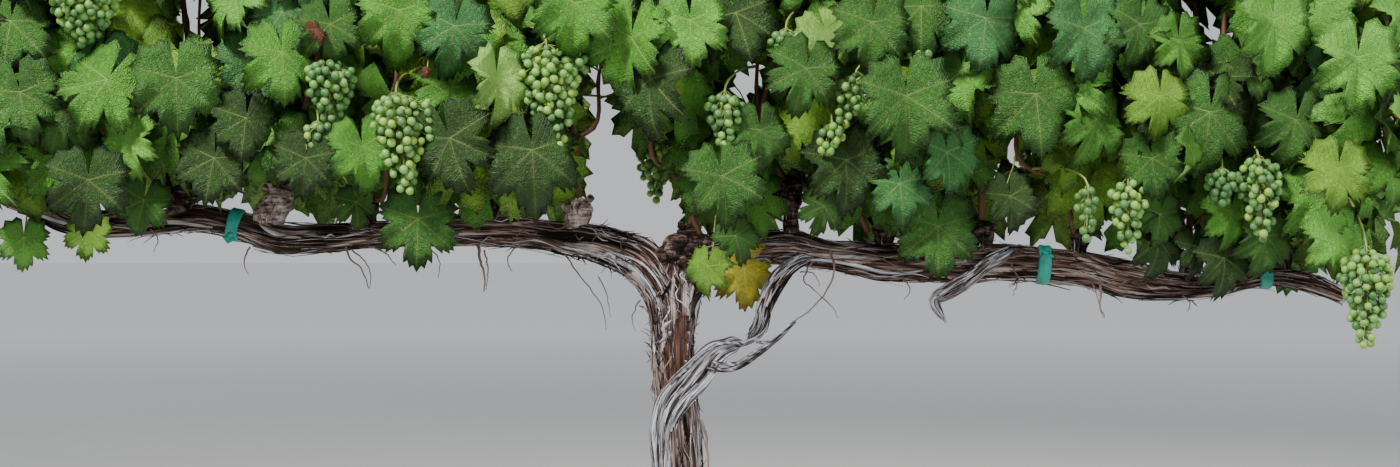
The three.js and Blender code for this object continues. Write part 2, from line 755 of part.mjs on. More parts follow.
function growMass(i) {
  const upper = isUpper(i);
  const edges = upper ? UPPER_EDGES : LOWER_EDGES;
  const cell = Math.floor(i / 2);
  const range = [edges[cell], edges[cell + 1]];
  const width = range[1] - range[0];
  const obstacles = upper ? woodClearance : woodClearance.add(stemClearance);
  const mass = new Mass(i, [edges[0], edges.at(-1)], range, obstacles);
  const stem = upper ? upperStems[i] : lowerStem(i);
  const steps = upper ? STEM_STEPS.upper : STEM_STEPS.lower;
  mass.pieces.push(twigSolid(stem, STEM_RADIUS, SHOOT_RADIUS, steps));
  const fork = stem.at(-1).clone().add(vector(0, 0, -8));
  const columns = Math.round(width / COLUMN_SPACING);
  for (let column = 0; column < columns; column += 1) {
    const x = range[0] + ((column + 0.5) * width) / columns;
    const crownTop = CROWN_RISE - 24 - 150 * Math.abs(x / CROWN_REACH) ** 4 - mass.between(0, 70);
    const top = upper ? crownTop : TIER_RISE - mass.between(46, 66);
    mass.growShoot(fork, x, top, (column + i) % 2 ? 1 : -1);
  }
  if (!upper) {
    const holdsAt = (x, y) => x > mass.reach(y)[0] && x < mass.reach(y)[1];
    BUNCHES.filter((bunch) => holdsAt(bunch[0], bunch[4] ? BUNCH_DEPTH : -BUNCH_DEPTH)).forEach(
      (bunch) => mass.hangBunch(bunch),
    );
    LOW_LEAVES.filter(([x]) => holdsAt(x, -FREE_DEPTH)).forEach((leaf) => mass.hangLeaf(leaf));
  }
  mass.addLeaves();
  return mass.solid(upper ? woodCutter : woodCutter.add(stemCutter));
}

SPURS.forEach((_, i) => {
  const tier = isUpper(i) ? "upper" : "lower";
  const name = `foliage_${tier}_${Math.floor(i / 2) + 1}`;
  solids.set(name, [growMass(i), LEAF_GREEN]);
});

// The finished vine, one named mesh for each piece.
const vine = new THREE.Group();
for (const [name, [solid, finish]] of solids) {
  const { vertProperties, triVerts } = solid.getMesh();
  const geometry = new THREE.BufferGeometry();
  geometry.setAttribute("position", new THREE.BufferAttribute(vertProperties, 3));
  geometry.setIndex(new THREE.BufferAttribute(triVerts, 1));
  geometry.computeVertexNormals();
  const mesh = new THREE.Mesh(geometry, new THREE.MeshStandardMaterial(finish));
  mesh.name = name;
  vine.add(mesh);
}

export default vine;
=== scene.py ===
# A grapevine trained on two horizontal arms, as it grows in a vineyard row in summer: its bark, shoots,
# leaves and grapes, grown on the solids. Metres, +Z up. X runs along the row and Y across it, and the
# side that shows best faces -Y. Sizes in millimetres are turned into metres by MM.
import functools
import math

import bpy
import numpy as np
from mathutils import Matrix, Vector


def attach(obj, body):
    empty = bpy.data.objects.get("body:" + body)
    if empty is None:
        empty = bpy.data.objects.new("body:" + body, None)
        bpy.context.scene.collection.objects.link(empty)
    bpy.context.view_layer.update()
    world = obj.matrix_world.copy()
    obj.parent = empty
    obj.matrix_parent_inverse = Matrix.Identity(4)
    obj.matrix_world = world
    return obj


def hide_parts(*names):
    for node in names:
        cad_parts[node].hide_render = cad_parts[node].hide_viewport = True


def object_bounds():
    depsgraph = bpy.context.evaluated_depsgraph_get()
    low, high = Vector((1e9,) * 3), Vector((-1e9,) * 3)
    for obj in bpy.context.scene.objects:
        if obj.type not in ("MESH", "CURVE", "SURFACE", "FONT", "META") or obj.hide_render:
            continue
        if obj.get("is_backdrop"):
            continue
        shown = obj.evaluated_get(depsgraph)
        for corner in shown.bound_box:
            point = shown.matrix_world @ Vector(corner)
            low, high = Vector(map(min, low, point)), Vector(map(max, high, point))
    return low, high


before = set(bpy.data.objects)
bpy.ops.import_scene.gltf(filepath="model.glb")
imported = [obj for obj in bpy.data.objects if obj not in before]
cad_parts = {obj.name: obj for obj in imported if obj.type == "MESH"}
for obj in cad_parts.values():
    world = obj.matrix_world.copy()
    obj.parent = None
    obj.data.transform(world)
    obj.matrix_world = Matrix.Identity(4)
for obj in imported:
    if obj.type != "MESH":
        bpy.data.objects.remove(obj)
cad_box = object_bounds()

MM = 0.001
# Directions: along the row, across it to the near and to the far side, and up
ROW = np.array([1.0, 0.0, 0.0])
NEAR = np.array([0.0, -1.0, 0.0])
FAR = np.array([0.0, 1.0, 0.0])
UP = np.array([0.0, 0.0, 1.0])

# Driving dimensions in millimetres, as in the solids
CORDON_HEIGHT = 930
CROWN_RISE = 900
TIER_RISE = 430
CROWN_DROP = 150
CROWN_HALF_DEPTH = 235
CROWN_REACH = 1056
CROWN_BELLY = {"rise": 260, "above": 730, "below": 480}
ROW_SLANT = 0.3
TIER_SLANT = 0.65
LOWER_EDGES = [-1056, -722, -433, -97, 120, 405, 700, 1026]
UPPER_EDGES = [-1040, -600, -310, -20, 270, 545, 1008]

# The camera looks level along +Y. The picture is 1400 by 467 pixels, and a pixel is 1.4 mm wide where the
# arms are.
PICTURE = (1400, 467)
PIXEL = 1.4
TRUNK_COLUMN = 696  # the pixel column of the trunk's foot
ARMS_ROW = 235  # the pixel row at the arms' level
CAMERA_DISTANCE = 2800

# Wood. Each row is [x, y, rise above the arms' level, radius].
TRUNK = [
    [2, 0, -1000, 46],
    [0, 0, -930, 45],
    [-2, 1, -830, 38],
    [-7, 4, -650, 34],
    [-16, 3, -450, 32],
    [-24, 0, -290, 30.5],
    [-33, -1, -170, 29],
    [-34, 0, -90, 31],
    [-31, 2, -44, 30],
    [-26, 4, -20, 22],
]
ARM_LEFT = [
    [-36, -4, -230, 16],
    [-40, -6, -150, 21],
    [-46, -4, -88, 26],
    [-76, -2, -38, 30],
    [-120, -2, -18, 27],
    [-161, 0, -8, 24],
    [-211, 3, -1, 20],
    [-262, 5, 5, 22],
    [-320, 2, 6, 21],
    [-386, -2, 3, 18],
    [-459, -5, 0, 17.5],
    [-516, -3, -4, 19],
    [-578, 2, -4, 21],
    [-640, 6, 13, 19],
    [-700, 4, 23, 19],
    [-787, -2, 16, 18],
    [-871, -8, 20, 18],
    [-940, -4, 50, 17.5],
    [-1012, 4, 72, 14],
]
ARM_RIGHT = [
    [-26, 2, -170, 16],
    [-18, 2, -105, 21],
    [-6, 5, -50, 25],
    [30, 7, -24, 25],
    [85, 4, -19, 23],
    [125, 0, -17, 24],
    [183, -4, -27, 19],
    [220, -2, -32, 23],
    [262, 2, -37, 27],
    [360, 5, -41, 25],
    [426, 3, -38, 25],
    [486, 0, -42, 23.5],
    [545, -3, -48, 23],
    [599, -5, -62, 25],
    [662, -2, -71, 20],
    [725, 3, -70, 15.5],
    [770, 6, -62, 13],
    [808, 5, -59, 12],
    [862, 2, -68, 12.5],
    [908, 0, -87, 10],
]
ROOT_FLARE = {"reach": 30, "fall": 60, "lobes": 4, "turn": 0.6}
# Where the bark has come off the trunk: rises from and to, turns round it at these from the near side
# towards +X, and half the turn that it takes up.
BARE_WOOD = {"low": -252, "high": -112, "turns": (-0.5, 0.62), "half_turn": 0.56}

# Straps of loose bark. Each row is [x, y, rise, half width].
STRAP_THICKNESS = 7
STRAPS = {
    "bark_strap_lower": [
        [-36, -27, -470, 9],
        [-43, -24, -400, 12],
        [-46, -24, -330, 15],
        [-44, -27, -262, 18],
        [-28, -34, -224, 23],
        [0, -38, -192, 23],
        [24, -40, -164, 18],
        [46, -38, -153, 13],
        [68, -34, -147, 10],
    ],
    "bark_strap_upper": [
        [70, -34, -146, 10],
        [86, -32, -130, 11],
        [98, -30, -92, 11],
        [115, -28, -58, 12],
        [140, -27, -38, 10],
        [164, -21, -31, 8],
    ],
    "bark_strap_hanging": [
        [442, -17, -21, 9],
        [408, -24, -38, 10],
        [380, -30, -59, 10],
        [348, -38, -78, 9],
        [330, -38, -90, 8],
        [345, -38, -122, 4],
    ],
}

# Spurs: where each stands on the row, how its head leans, how far the head's top rises above the arms'
# level, and the radius of its neck and of its head. Two are of paler wood.
SPURS = [
    {"x": -890, "lean": 4, "top": 72, "neck": 10, "head": 16},
    {"x": -722, "lean": 1, "top": 97, "neck": 22, "head": 23},
    {"x": -606, "lean": 20, "top": 69, "neck": 20, "head": 21, "pale": True},
    {"x": -459, "lean": -4, "top": 58, "neck": 13, "head": 19},
    {"x": -291, "lean": 6, "top": 60, "neck": 12, "head": 17},
    {"x": -172, "lean": 6, "top": 54, "neck": 15, "head": 21, "pale": True},
    {"x": -20, "lean": 10, "top": 16, "neck": 16, "head": 18},
    {"x": 134, "lean": -5, "top": 85, "neck": 9, "head": 21},
    {"x": 262, "lean": 4, "top": 36, "neck": 12, "head": 19},
    {"x": 405, "lean": -5, "top": 22, "neck": 12, "head": 17},
    {"x": 535, "lean": 3, "top": 14, "neck": 9, "head": 13},
    {"x": 685, "lean": 5, "top": -20, "neck": 9, "head": 13},
    {"x": 828, "lean": -3, "top": -18, "neck": 8, "head": 11},
]
TRUNK_SPUR = 6
SPUR_FOOT_SHARE = 0.62  # the widest that a spur's foot may be, as a share of its arm's radius
TIES = [("left", -851), ("left", -646), ("right", 486), ("right", 798)]
TIE_WIDTH = 18

# Where the random draws of each kind of piece start
SEEDS = {
    "trunk": 11,
    "head_knobs": 13,
    "arm_left": 21,
    "arm_right": 31,
    "straps": 60,
    "threads": 71,
    "spurs": 300,
    "spur_ribbons": 400,
    "ties": 500,
    "outlines": 3,
    "shown_leaves": 7,
    "masses": 1000,
    "dressing": 2000,
}


def linear(red, green, blue):
    # A screen colour from 0 to 255 as the linear colour that a shader takes.
    share = np.array([red, green, blue]) / 255
    low = share / 12.92
    high = ((share + 0.055) / 1.055) ** 2.4
    return tuple(float(c) for c in np.where(share < 0.04045, low, high)) + (1.0,)


# The greens of leaves: upper side, underside, and in what proportion the leaves have them. The darker
# greens, deep and shade, are partly the leaves' own greens and partly painted shade for leaves that hang in
# shade.
LEAF_TONES = {
    "deep": [linear(30, 66, 16), linear(54, 92, 36), 15],
    "shade": [linear(48, 98, 28), linear(80, 124, 56), 22],
    "blue": [linear(54, 112, 55), linear(96, 142, 90), 14],
    "green": [linear(74, 136, 38), linear(106, 154, 70), 23],
    "fresh": [linear(96, 162, 58), linear(130, 178, 92), 13],
    "pale": [linear(134, 184, 84), linear(154, 194, 112), 4],
    "lime": [linear(108, 156, 44), linear(128, 168, 70), 5],
    "yellow": [linear(172, 164, 44), linear(182, 176, 76), 1],
    "dry": [linear(112, 50, 36), linear(146, 84, 62), 0],
}
TONES = list(LEAF_TONES)
TONE_SHARES = np.array([LEAF_TONES[tone][2] for tone in TONES], float)
TONE_SHARES /= TONE_SHARES.sum()
# Light comes through the leaves deep in the crown, so they have a lighter green than their tone
LIGHTER_TONE = {"deep": "green", "shade": "green", "blue": "fresh", "green": "lime", "fresh": "lime"}

# Leaves that hang where they are easy to see: pixel column and row of the junction, width in millimetres,
# roll of the tip from straight down in degrees (towards +X), turn of the blade from facing the viewer,
# how far in front of the row's middle it hangs, and its green, a darker one for a leaf in shade, which is
# painted shade.
SHOWN_LEAVES = [
    [399, 10, 108, 0, 10, 170, "green"],
    [450, 138, 116, 14, -25, 158, "deep"],
    [532, 150, 124, 6, 8, 172, "deep"],
    [418, 219, 104, 0, 12, 92, "shade"],
    [496, 78, 100, 8, 52, 168, "pale"],
    [575, 3, 112, -4, 10, 176, "green"],
    [651, 79, 118, -10, -38, 160, "deep"],
    [722, 176, 108, 12, 14, 150, "shade"],
    [735, 236, 62, 20, 20, 74, "shade"],
    [708, 266, 64, -12, -10, 88, "lime"],
    [744, 268, 86, 6, 20, 16, "yellow"],
    [806, 68, 98, -12, 20, 166, "shade"],
    [906, 96, 126, 4, 6, 178, "shade"],
    [846, 160, 112, 6, 30, 122, "deep"],
    [824, 206, 64, -14, 16, 78, "shade"],
    [938, 226, 110, 0, 14, 90, "shade"],
    [947, 152, 88, 8, 24, 140, "blue"],
    [986, 18, 106, -6, 12, 172, "blue"],
    [1036, 94, 124, 6, 4, 174, "shade"],
    [1096, 119, 100, -8, 18, 146, "green"],
    [1152, 158, 84, 6, -20, 150, "shade"],
    [1160, 96, 88, 0, 12, 176, "lime"],
    [1210, 112, 126, -4, 8, 160, "shade"],
    [1189, 146, 66, 8, 64, 182, "green"],
    [1231, 212, 82, 0, 20, 120, "green"],
    [1273, 20, 112, 4, 10, 174, "fresh"],
    [1338, 168, 92, -6, 12, 172, "lime"],
    [1338, 234, 96, 6, 18, 130, "fresh"],
    [1357, 57, 118, -4, 8, 180, "fresh"],
    [176, 78, 116, 4, 10, 170, "shade"],
    [214, 158, 96, -10, 20, 150, "deep"],
    [282, 52, 104, 8, 26, 164, "green"],
    [306, 158, 84, -6, 14, 150, "deep"],
    [362, 146, 92, 10, 18, 144, "green"],
    [88, 180, 104, 0, 16, 160, "deep"],
    [90, 232, 62, -8, 10, 74, "lime"],
    [20, 92, 104, 10, 12, 172, "shade"],
    [24, 238, 66, 0, 20, 82, "fresh"],
    [62, 112, 92, -12, 22, 150, "shade"],
    [128, 138, 84, 8, -18, 140, "fresh"],
    [246, 118, 90, -4, 18, 152, "deep"],
    [330, 24, 84, 10, 10, 158, "shade"],
    [455, 26, 100, -8, 14, 166, "blue"],
    [690, 20, 98, 4, 12, 164, "fresh"],
    [760, 130, 84, 8, 22, 136, "shade"],
    [872, 22, 104, -4, 8, 174, "shade"],
    [1084, 28, 110, 6, 10, 172, "blue"],
    [1140, 24, 92, -10, 16, 160, "shade"],
    [1178, 40, 84, 6, 22, 150, "green"],
    [1296, 120, 96, -8, 10, 156, "shade"],
    [1010, 196, 74, 12, 26, 116, "deep"],
    [1160, 214, 70, -6, 24, 104, "shade"],
    [1158, 240, 82, 0, 14, 100, "deep"],
    [1224, 258, 82, 6, 18, 92, "deep"],
    [1266, 236, 84, -8, 16, 104, "shade"],
    [1194, 246, 66, 8, 26, 84, "deep"],
    [144, 200, 74, -14, 16, 98, "shade"],
    [356, 202, 58, 8, 22, 84, "shade"],
    [316, 30, 32, 30, 62, 178, "dry"],
    [427, 72, 16, -30, 58, 176, "dry"],
]

# Bunches of grapes on the near side: pixel column of the axis and row of the top, length and width in
# millimetres, the share of the width by which a shoulder stands out to one side, how far the tip leans
# towards +X for each unit of length, and the share of its grapes that are dark, which is painted shade
# for bunches that hang in shade.
NEAR_BUNCHES = [
    [82, -22, 88, 104, 0.0, 0.05, 0.4],
    [330, 58, 92, 78, -0.12, 0.0, 0.7],
    [318, 122, 42, 44, 0.0, 0.0, 0.5],
    [396, 94, 132, 82, 0.3, 0.1, 0.2],
    [546, 44, 142, 88, 0.25, 0.1, 0.25],
    [725, 92, 76, 58, 0.0, 0.0, 0.6],
    [786, 30, 44, 54, 0.0, 0.0, 0.9],
    [858, 72, 78, 54, 0.0, -0.32, 0.3],
    [832, 122, 46, 44, 0.0, -0.2, 0.3],
    [920, 46, 32, 34, 0.0, 0.0, 0.5],
    [1087, 186, 72, 36, 0.0, 0.0, 0.8],
    [1128, 178, 98, 56, 0.2, 0.0, 0.15],
    [1258, 157, 112, 66, 0.0, 0.05, 0.6],
    [1222, 168, 50, 54, 0.0, 0.0, 0.9],
    [1366, 248, 130, 80, 0.1, 0.0, 0.25],
]
NEAR_BUNCH_DEPTH = 140
# The same on the far side: x and rise of the top, length and width in millimetres.
FAR_BUNCHES = [
    [-760, 130, 120, 74],
    [-330, 150, 130, 80],
    [-60, 170, 120, 70],
    [330, 120, 125, 76],
    [500, 150, 115, 72],
    [860, 120, 125, 78],
]
FAR_BUNCH_DEPTH = 125
# The share of the far grapes that have the dark green of painted shade
FAR_SHADE_SHARE = 0.4
BERRY_RADIUS = 5.8

# Gaps in the foliage that go right through it: pixel columns from and to, pixel rows from and to, and how
# far a leaf's middle keeps off, as a share of the leaf's reach.
GAPS = [
    [598, 674, 142, 250, 0.8],
    [1010, 1026, 152, 180, 1.15],
    [1012, 1028, 180, 236, 0.8],
    [786, 800, 196, 232, 0.8],
    [172, 206, -20, 44, 0.8],
    [590, 604, 88, 128, 1.15],
    [742, 756, 72, 96, 1.15],
    [1208, 1224, 28, 46, 1.15],
]
# Spurs and tape that no leaf in front hides: pixel columns from and to, pixel rows from and to.
BARE_PLACES = [
    [164, 198, 172, 214],
    [254, 290, 188, 222],
    [560, 592, 198, 236],
    [776, 804, 182, 230],
    [226, 244, 214, 240],
    [1034, 1054, 250, 284],
    [1260, 1280, 272, 300],
]

# Canes that show between the leaves, from the wood upwards: pixel columns and rows, and how far each point
# lies in front of the row's middle.
SHOWN_CANES = [
    [[703, 240, 6], [691, 213, 20], [681, 180, 34], [683, 140, 40], [678, 100, 44], [684, 50, 40]],
    [[790, 190, 2], [768, 150, 40], [760, 116, 70], [770, 80, 76], [778, 50, 70], [786, -10, 50]],
    [[868, 232, 2], [840, 170, 50], [828, 125, 90], [830, 90, 92], [846, 20, 70]],
    [[1200, 250, 2], [1196, 236, 30], [1204, 220, 44], [1197, 200, 60], [1216, 120, 90], [1226, 0, 70]],
    [[368, 200, -4], [384, 196, 40], [387, 160, 80], [392, 120, 90], [400, 40, 70]],
    [[275, 190, 2], [296, 130, 40], [316, 60, 90], [320, 20, 110], [324, -30, 90]],
    [[170, 192, 2], [142, 178, 40], [122, 156, 84], [104, 128, 100], [96, 60, 70], [90, 10, 60]],
    [[480, 196, -4], [492, 150, 40], [500, 100, 60], [520, 20, 60]],
    [[1077, 240, 0], [1064, 190, 40], [1056, 130, 70], [1062, 40, 60]],
]

# Thin threads of bark and dry tendrils that hang free: pixel columns and rows, how far in front, radius.
THREADS = [
    [[[344, 240, 14], [350, 258, 24], [362, 270, 26], [368, 288, 24]], 1.3],
    [[[352, 250, 16], [366, 262, 24], [371, 276, 28], [369, 289, 26]], 0.9],
    [[[368, 246, 14], [384, 252, 22], [396, 266, 24]], 1.1],
    [[[478, 244, 16], [481, 262, 24], [485, 280, 24], [484, 291, 22]], 1.8],
    [[[484, 250, 16], [488, 268, 22], [486, 290, 22]], 1.0],
    [[[1096, 276, 14], [1101, 292, 22], [1100, 306, 24], [1104, 318, 24]], 1.7],
    [[[1092, 280, 16], [1098, 300, 24], [1103, 316, 24]], 0.8],
    [[[566, 256, 20], [588, 286, 30], [602, 306, 30], [606, 330, 28]], 0.9],
    [[[598, 276, 24], [606, 292, 30], [610, 318, 28]], 0.7],
    [[[830, 250, 24], [834, 272, 36], [826, 292, 40], [812, 308, 42], [790, 324, 44]], 1.3],
    [[[812, 262, 30], [804, 280, 40], [814, 290, 42], [822, 298, 42]], 1.0],
    [[[822, 298, 42], [832, 306, 44], [838, 318, 42]], 0.9],
    [[[800, 272, 36], [814, 274, 42], [820, 286, 42]], 0.8],
    [[[701, 420, 30], [706, 436, 34], [708, 467, 36], [712, 500, 36]], 1.6],
    [[[672, 356, 28], [664, 372, 34], [668, 384, 36]], 1.0],
    [[[640, 300, 26], [632, 318, 32], [636, 332, 34]], 0.9],
    [[[250, 246, 14], [244, 262, 22], [248, 274, 24]], 1.1],
    [[[428, 246, 14], [440, 262, 22], [438, 278, 22]], 0.9],
    [[[520, 244, 14], [508, 258, 24], [512, 272, 24]], 1.0],
    [[[1010, 262, 18], [1018, 280, 26], [1012, 296, 28]], 1.1],
    [[[1180, 294, 14], [1190, 302, 20], [1188, 312, 20]], 1.0],
    [[[902, 276, 20], [910, 290, 26], [904, 300, 26]], 0.9],
    [[[150, 228, 12], [158, 240, 18], [154, 252, 18]], 0.9],
]


# Places in the picture as places in the frame, and back


def at_pixel(column, row, front):
    # The point that a pixel shows on the upright plane that lies front millimetres before the row's middle.
    scale = MM * PIXEL * (CAMERA_DISTANCE - front) / CAMERA_DISTANCE
    x = camera_x() + (column - PICTURE[0] / 2) * scale
    z = camera_z() + (PICTURE[1] / 2 - row) * scale
    return np.array([x, -front * MM, z])


def camera_x():
    return MM * PIXEL * (PICTURE[0] / 2 - TRUNK_COLUMN)


def camera_z():
    return MM * (CORDON_HEIGHT + PIXEL * (ARMS_ROW - PICTURE[1] / 2))


def pixel_path(path):
    return np.array([at_pixel(*point) for point in path])


def to_pixels(points):
    # The pixel columns and rows at which points show, and how many pixels a metre is there.
    distance = CAMERA_DISTANCE * MM + points[..., 1]
    scale = CAMERA_DISTANCE / PIXEL / distance
    column = PICTURE[0] / 2 + (points[..., 0] - camera_x()) * scale
    row = PICTURE[1] / 2 - (points[..., 2] - camera_z()) * scale
    return column, row, scale


# Lines and noise


def unit(vectors):
    return vectors / np.maximum(np.linalg.norm(vectors, axis=-1, keepdims=True), 1e-12)


def square_to(lines, vectors):
    # The parts of vectors that stand square to lines, at unit length.
    return unit(vectors - np.sum(vectors * lines, -1, keepdims=True) * lines)


def headings(line):
    return unit(np.gradient(line, axis=0))


LINE_STEPS = 24  # steps from each station of a limb to the next
FRAME_STEP = 0.004  # how far before and after a place on a limb its direction is taken, in metres


def spline(points):
    # A centripetal curve through the points, with LINE_STEPS steps from each to the next.
    ends = np.vstack([2 * points[0] - points[1], points, 2 * points[-1] - points[-2]])
    share = np.linspace(0, 1, LINE_STEPS, endpoint=False)[:, None]
    parts = []
    for before, start, end, after in zip(ends, ends[1:], ends[2:], ends[3:]):
        gap_0, gap_1, gap_2 = (
            max(np.linalg.norm(b - a), 1e-9) ** 0.5
            for a, b in ((before, start), (start, end), (end, after))
        )
        leave = (start - before) / gap_0 - (end - before) / (gap_0 + gap_1) + (end - start) / gap_1
        reach = (end - start) / gap_1 - (after - start) / (gap_1 + gap_2) + (after - end) / gap_2
        leave, reach = leave * gap_1, reach * gap_1
        square, cube = share**2, share**3
        parts.append(
            start * (2 * cube - 3 * square + 1)
            + leave * (cube - 2 * square + share)
            + end * (3 * square - 2 * cube)
            + reach * (cube - square)
        )
    return np.vstack([*parts, points[-1:]])


def lengths_along(line):
    return np.concatenate([[0], np.cumsum(np.linalg.norm(np.diff(line, axis=0), axis=1))])


def spaced(points, count):
    # Points at even steps along the curve through the given ones.
    line = spline(np.asarray(points, float))
    along = lengths_along(line)
    where = np.linspace(0, along[-1], count)
    return np.stack([np.interp(where, along, line[:, axis]) for axis in range(3)], axis=1)


def ease(share):
    share = np.clip(share, 0, 1)
    return share * share * (3 - 2 * share)


def turns_round(sides):
    # The share of a full turn at each column of a limb's skin.
    return np.arange(sides)[None, :] / sides


def noise(rng, turn, along, columns, cell):
    # Smooth noise from 0 to 1 on a limb's skin, in so many columns round it and in cells along it.
    table = rng.random((int(np.max(along) / cell) + 3, columns))
    across, down = turn * columns, along / cell
    left, top = np.floor(across).astype(int), np.floor(down).astype(int)
    right_share, low_share = ease(across - left), ease(down - top)
    corner = lambda r, c: table[(top + r) % len(table), (left + c) % columns]
    upper = corner(0, 0) * (1 - right_share) + corner(0, 1) * right_share
    lower = corner(1, 0) * (1 - right_share) + corner(1, 1) * right_share
    return upper * (1 - low_share) + lower * low_share


class Limb:
    # A smooth line through its stations, with its radius or half width all along it.
    def __init__(self, stations):
        rows = np.array(stations, float)
        rows[:, 2] += CORDON_HEIGHT
        self.points = rows[:, :3] * MM
        self.line = spline(self.points)
        self.along = lengths_along(self.line)
        self.length = self.along[-1]
        self.stops = self.along[::LINE_STEPS]
        self.radii = rows[:, 3] * MM

    def at(self, along):
        return np.stack([np.interp(along, self.along, self.line[:, axis]) for axis in range(3)], -1)

    def radius(self, along):
        stop = np.clip(np.searchsorted(self.stops, along, side="right"), 1, len(self.stops) - 1)
        share = (along - self.stops[stop - 1]) / (self.stops[stop] - self.stops[stop - 1])
        return self.radii[stop - 1] + (self.radii[stop] - self.radii[stop - 1]) * ease(share)

    def along_at_x(self, x):
        # How far along the limb it passes an x, past the bend at its foot.
        outer = self.line[:, 0] if self.line[-1, 0] > self.line[0, 0] else -self.line[:, 0]
        return np.interp(abs(x) * np.sign(x) * np.sign(self.line[-1, 0]), outer, self.along)

    def along_at_height(self, z):
        foot = slice(0, 4 * LINE_STEPS)
        return np.interp(z, self.line[foot, 2], self.along[foot])

    def frame(self, along):
        # Two directions across the limb: one to the near side of the row, and one that completes the turn.
        ahead = self.at(np.minimum(along + FRAME_STEP, self.length))
        tangent = unit(ahead - self.at(np.maximum(along - FRAME_STEP, 0)))
        near = square_to(tangent, NEAR)
        return near, np.cross(tangent, near)

    def skin(self, along, angle, lift):
        # Points at an angle round the limb and a distance from its radius.
        near, third = self.frame(along)
        out = np.cos(angle)[..., None] * near + np.sin(angle)[..., None] * third
        return self.at(along) + (self.radius(along) + lift)[..., None] * out, out


# Joined shapes


class Pile:
    # Shapes that become one piece: vertices, triangles, pattern coordinates, finishes and relief.
    def __init__(self):
        self.vertices, self.faces, self.corners, self.finishes, self.relief = [], [], [], [], []
        self.count = 0

    def add(self, vertices, faces, corners, finish=0, relief=0.5):
        self.vertices.append(vertices)
        self.faces.append(faces + self.count)
        self.corners.append(corners)
        self.finishes.append(np.broadcast_to(finish, len(faces)))
        self.relief.append(np.broadcast_to(relief, len(vertices)))
        self.count += len(vertices)


def add_object(name, data):
    made = bpy.data.objects.new(name, data)
    bpy.context.scene.collection.objects.link(made)
    return made


def make_piece(name, pile, finishes, nodes=()):
    # Joins a pile into one smooth-shaded object that rides on the vine and stands for its solids.
    vertices = np.concatenate(pile.vertices)
    faces = np.concatenate(pile.faces)
    mesh = bpy.data.meshes.new(name)
    mesh.vertices.add(len(vertices))
    mesh.vertices.foreach_set("co", vertices.astype(np.float32).ravel())
    mesh.loops.add(faces.size)
    mesh.loops.foreach_set("vertex_index", faces.astype(np.int32).ravel())
    mesh.polygons.add(len(faces))
    mesh.polygons.foreach_set("loop_start", np.arange(0, faces.size, 3, dtype=np.int32))
    mesh.polygons.foreach_set("loop_total", np.full(len(faces), 3, np.int32))
    mesh.polygons.foreach_set("material_index", np.concatenate(pile.finishes).astype(np.int32))
    mesh.polygons.foreach_set("use_smooth", np.ones(len(faces), bool))
    layer = mesh.uv_layers.new(name="Pattern")
    layer.data.foreach_set("uv", np.concatenate(pile.corners).astype(np.float32).ravel())
    relief = mesh.attributes.new("relief", "FLOAT", "POINT")
    relief.data.foreach_set("value", np.concatenate(pile.relief).astype(np.float32))
    for finish in finishes:
        mesh.materials.append(finish)
    mesh.update(calc_edges=True)
    mesh.validate()
    made = add_object(name, mesh)
    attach(made, "root")
    if nodes:
        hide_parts(*nodes)


@functools.lru_cache(maxsize=None)
def tube_faces(rings, sides):
    # The triangles of a closed tube, and the ring and column of each of their corners.
    ring, column = (grid.ravel() for grid in np.meshgrid(range(rings - 1), range(sides), indexing="ij"))
    spot = lambda r, c: np.stack([ring + r, column + c], axis=1)
    first = np.stack([spot(0, 0), spot(0, 1), spot(1, 1)], axis=1)
    second = np.stack([spot(0, 0), spot(1, 1), spot(1, 0)], axis=1)
    body = np.concatenate([first, second])
    around = np.arange(sides)
    rim = lambda r, c: np.stack([np.full(sides, r), around + c], axis=1)
    foot = np.stack([rim(0, 0.5), rim(0, 1), rim(0, 0)], axis=1)
    head = np.stack([rim(rings - 1, 0.5), rim(rings - 1, 0), rim(rings - 1, 1)], axis=1)
    index = (body[..., 0] * sides + body[..., 1] % sides).astype(int)
    foot_index = (foot[..., 1] % sides).astype(int)
    head_index = ((rings - 1) * sides + head[..., 1] % sides).astype(int)
    foot_index[:, 0] = rings * sides
    head_index[:, 0] = rings * sides + 1
    return np.concatenate([index, foot_index, head_index]), np.concatenate([body, foot, head])


def carried_frame(centres):
    # Two directions across a free line, turned as little as can be from each point to the next.
    tangents = headings(centres)
    start = np.eye(3)[np.argmin(np.abs(tangents[0]))]
    firsts = []
    for tangent in tangents:
        start = square_to(tangent, start)
        firsts.append(start)
    first = np.array(firsts)
    return first, np.cross(tangents, first)


def guided_frame(centres, guide):
    # Two directions across a line, the first as near to the guide as can be.
    tangents = headings(centres)
    first = square_to(tangents, guide)
    return first, np.cross(tangents, first)


def for_each_vertex(size, rings, sides):
    # One size, or one for each ring, as one for each vertex.
    size = np.asarray(size, float)
    return np.broadcast_to(size.reshape(-1, 1) if size.ndim < 2 else size, (rings, sides))


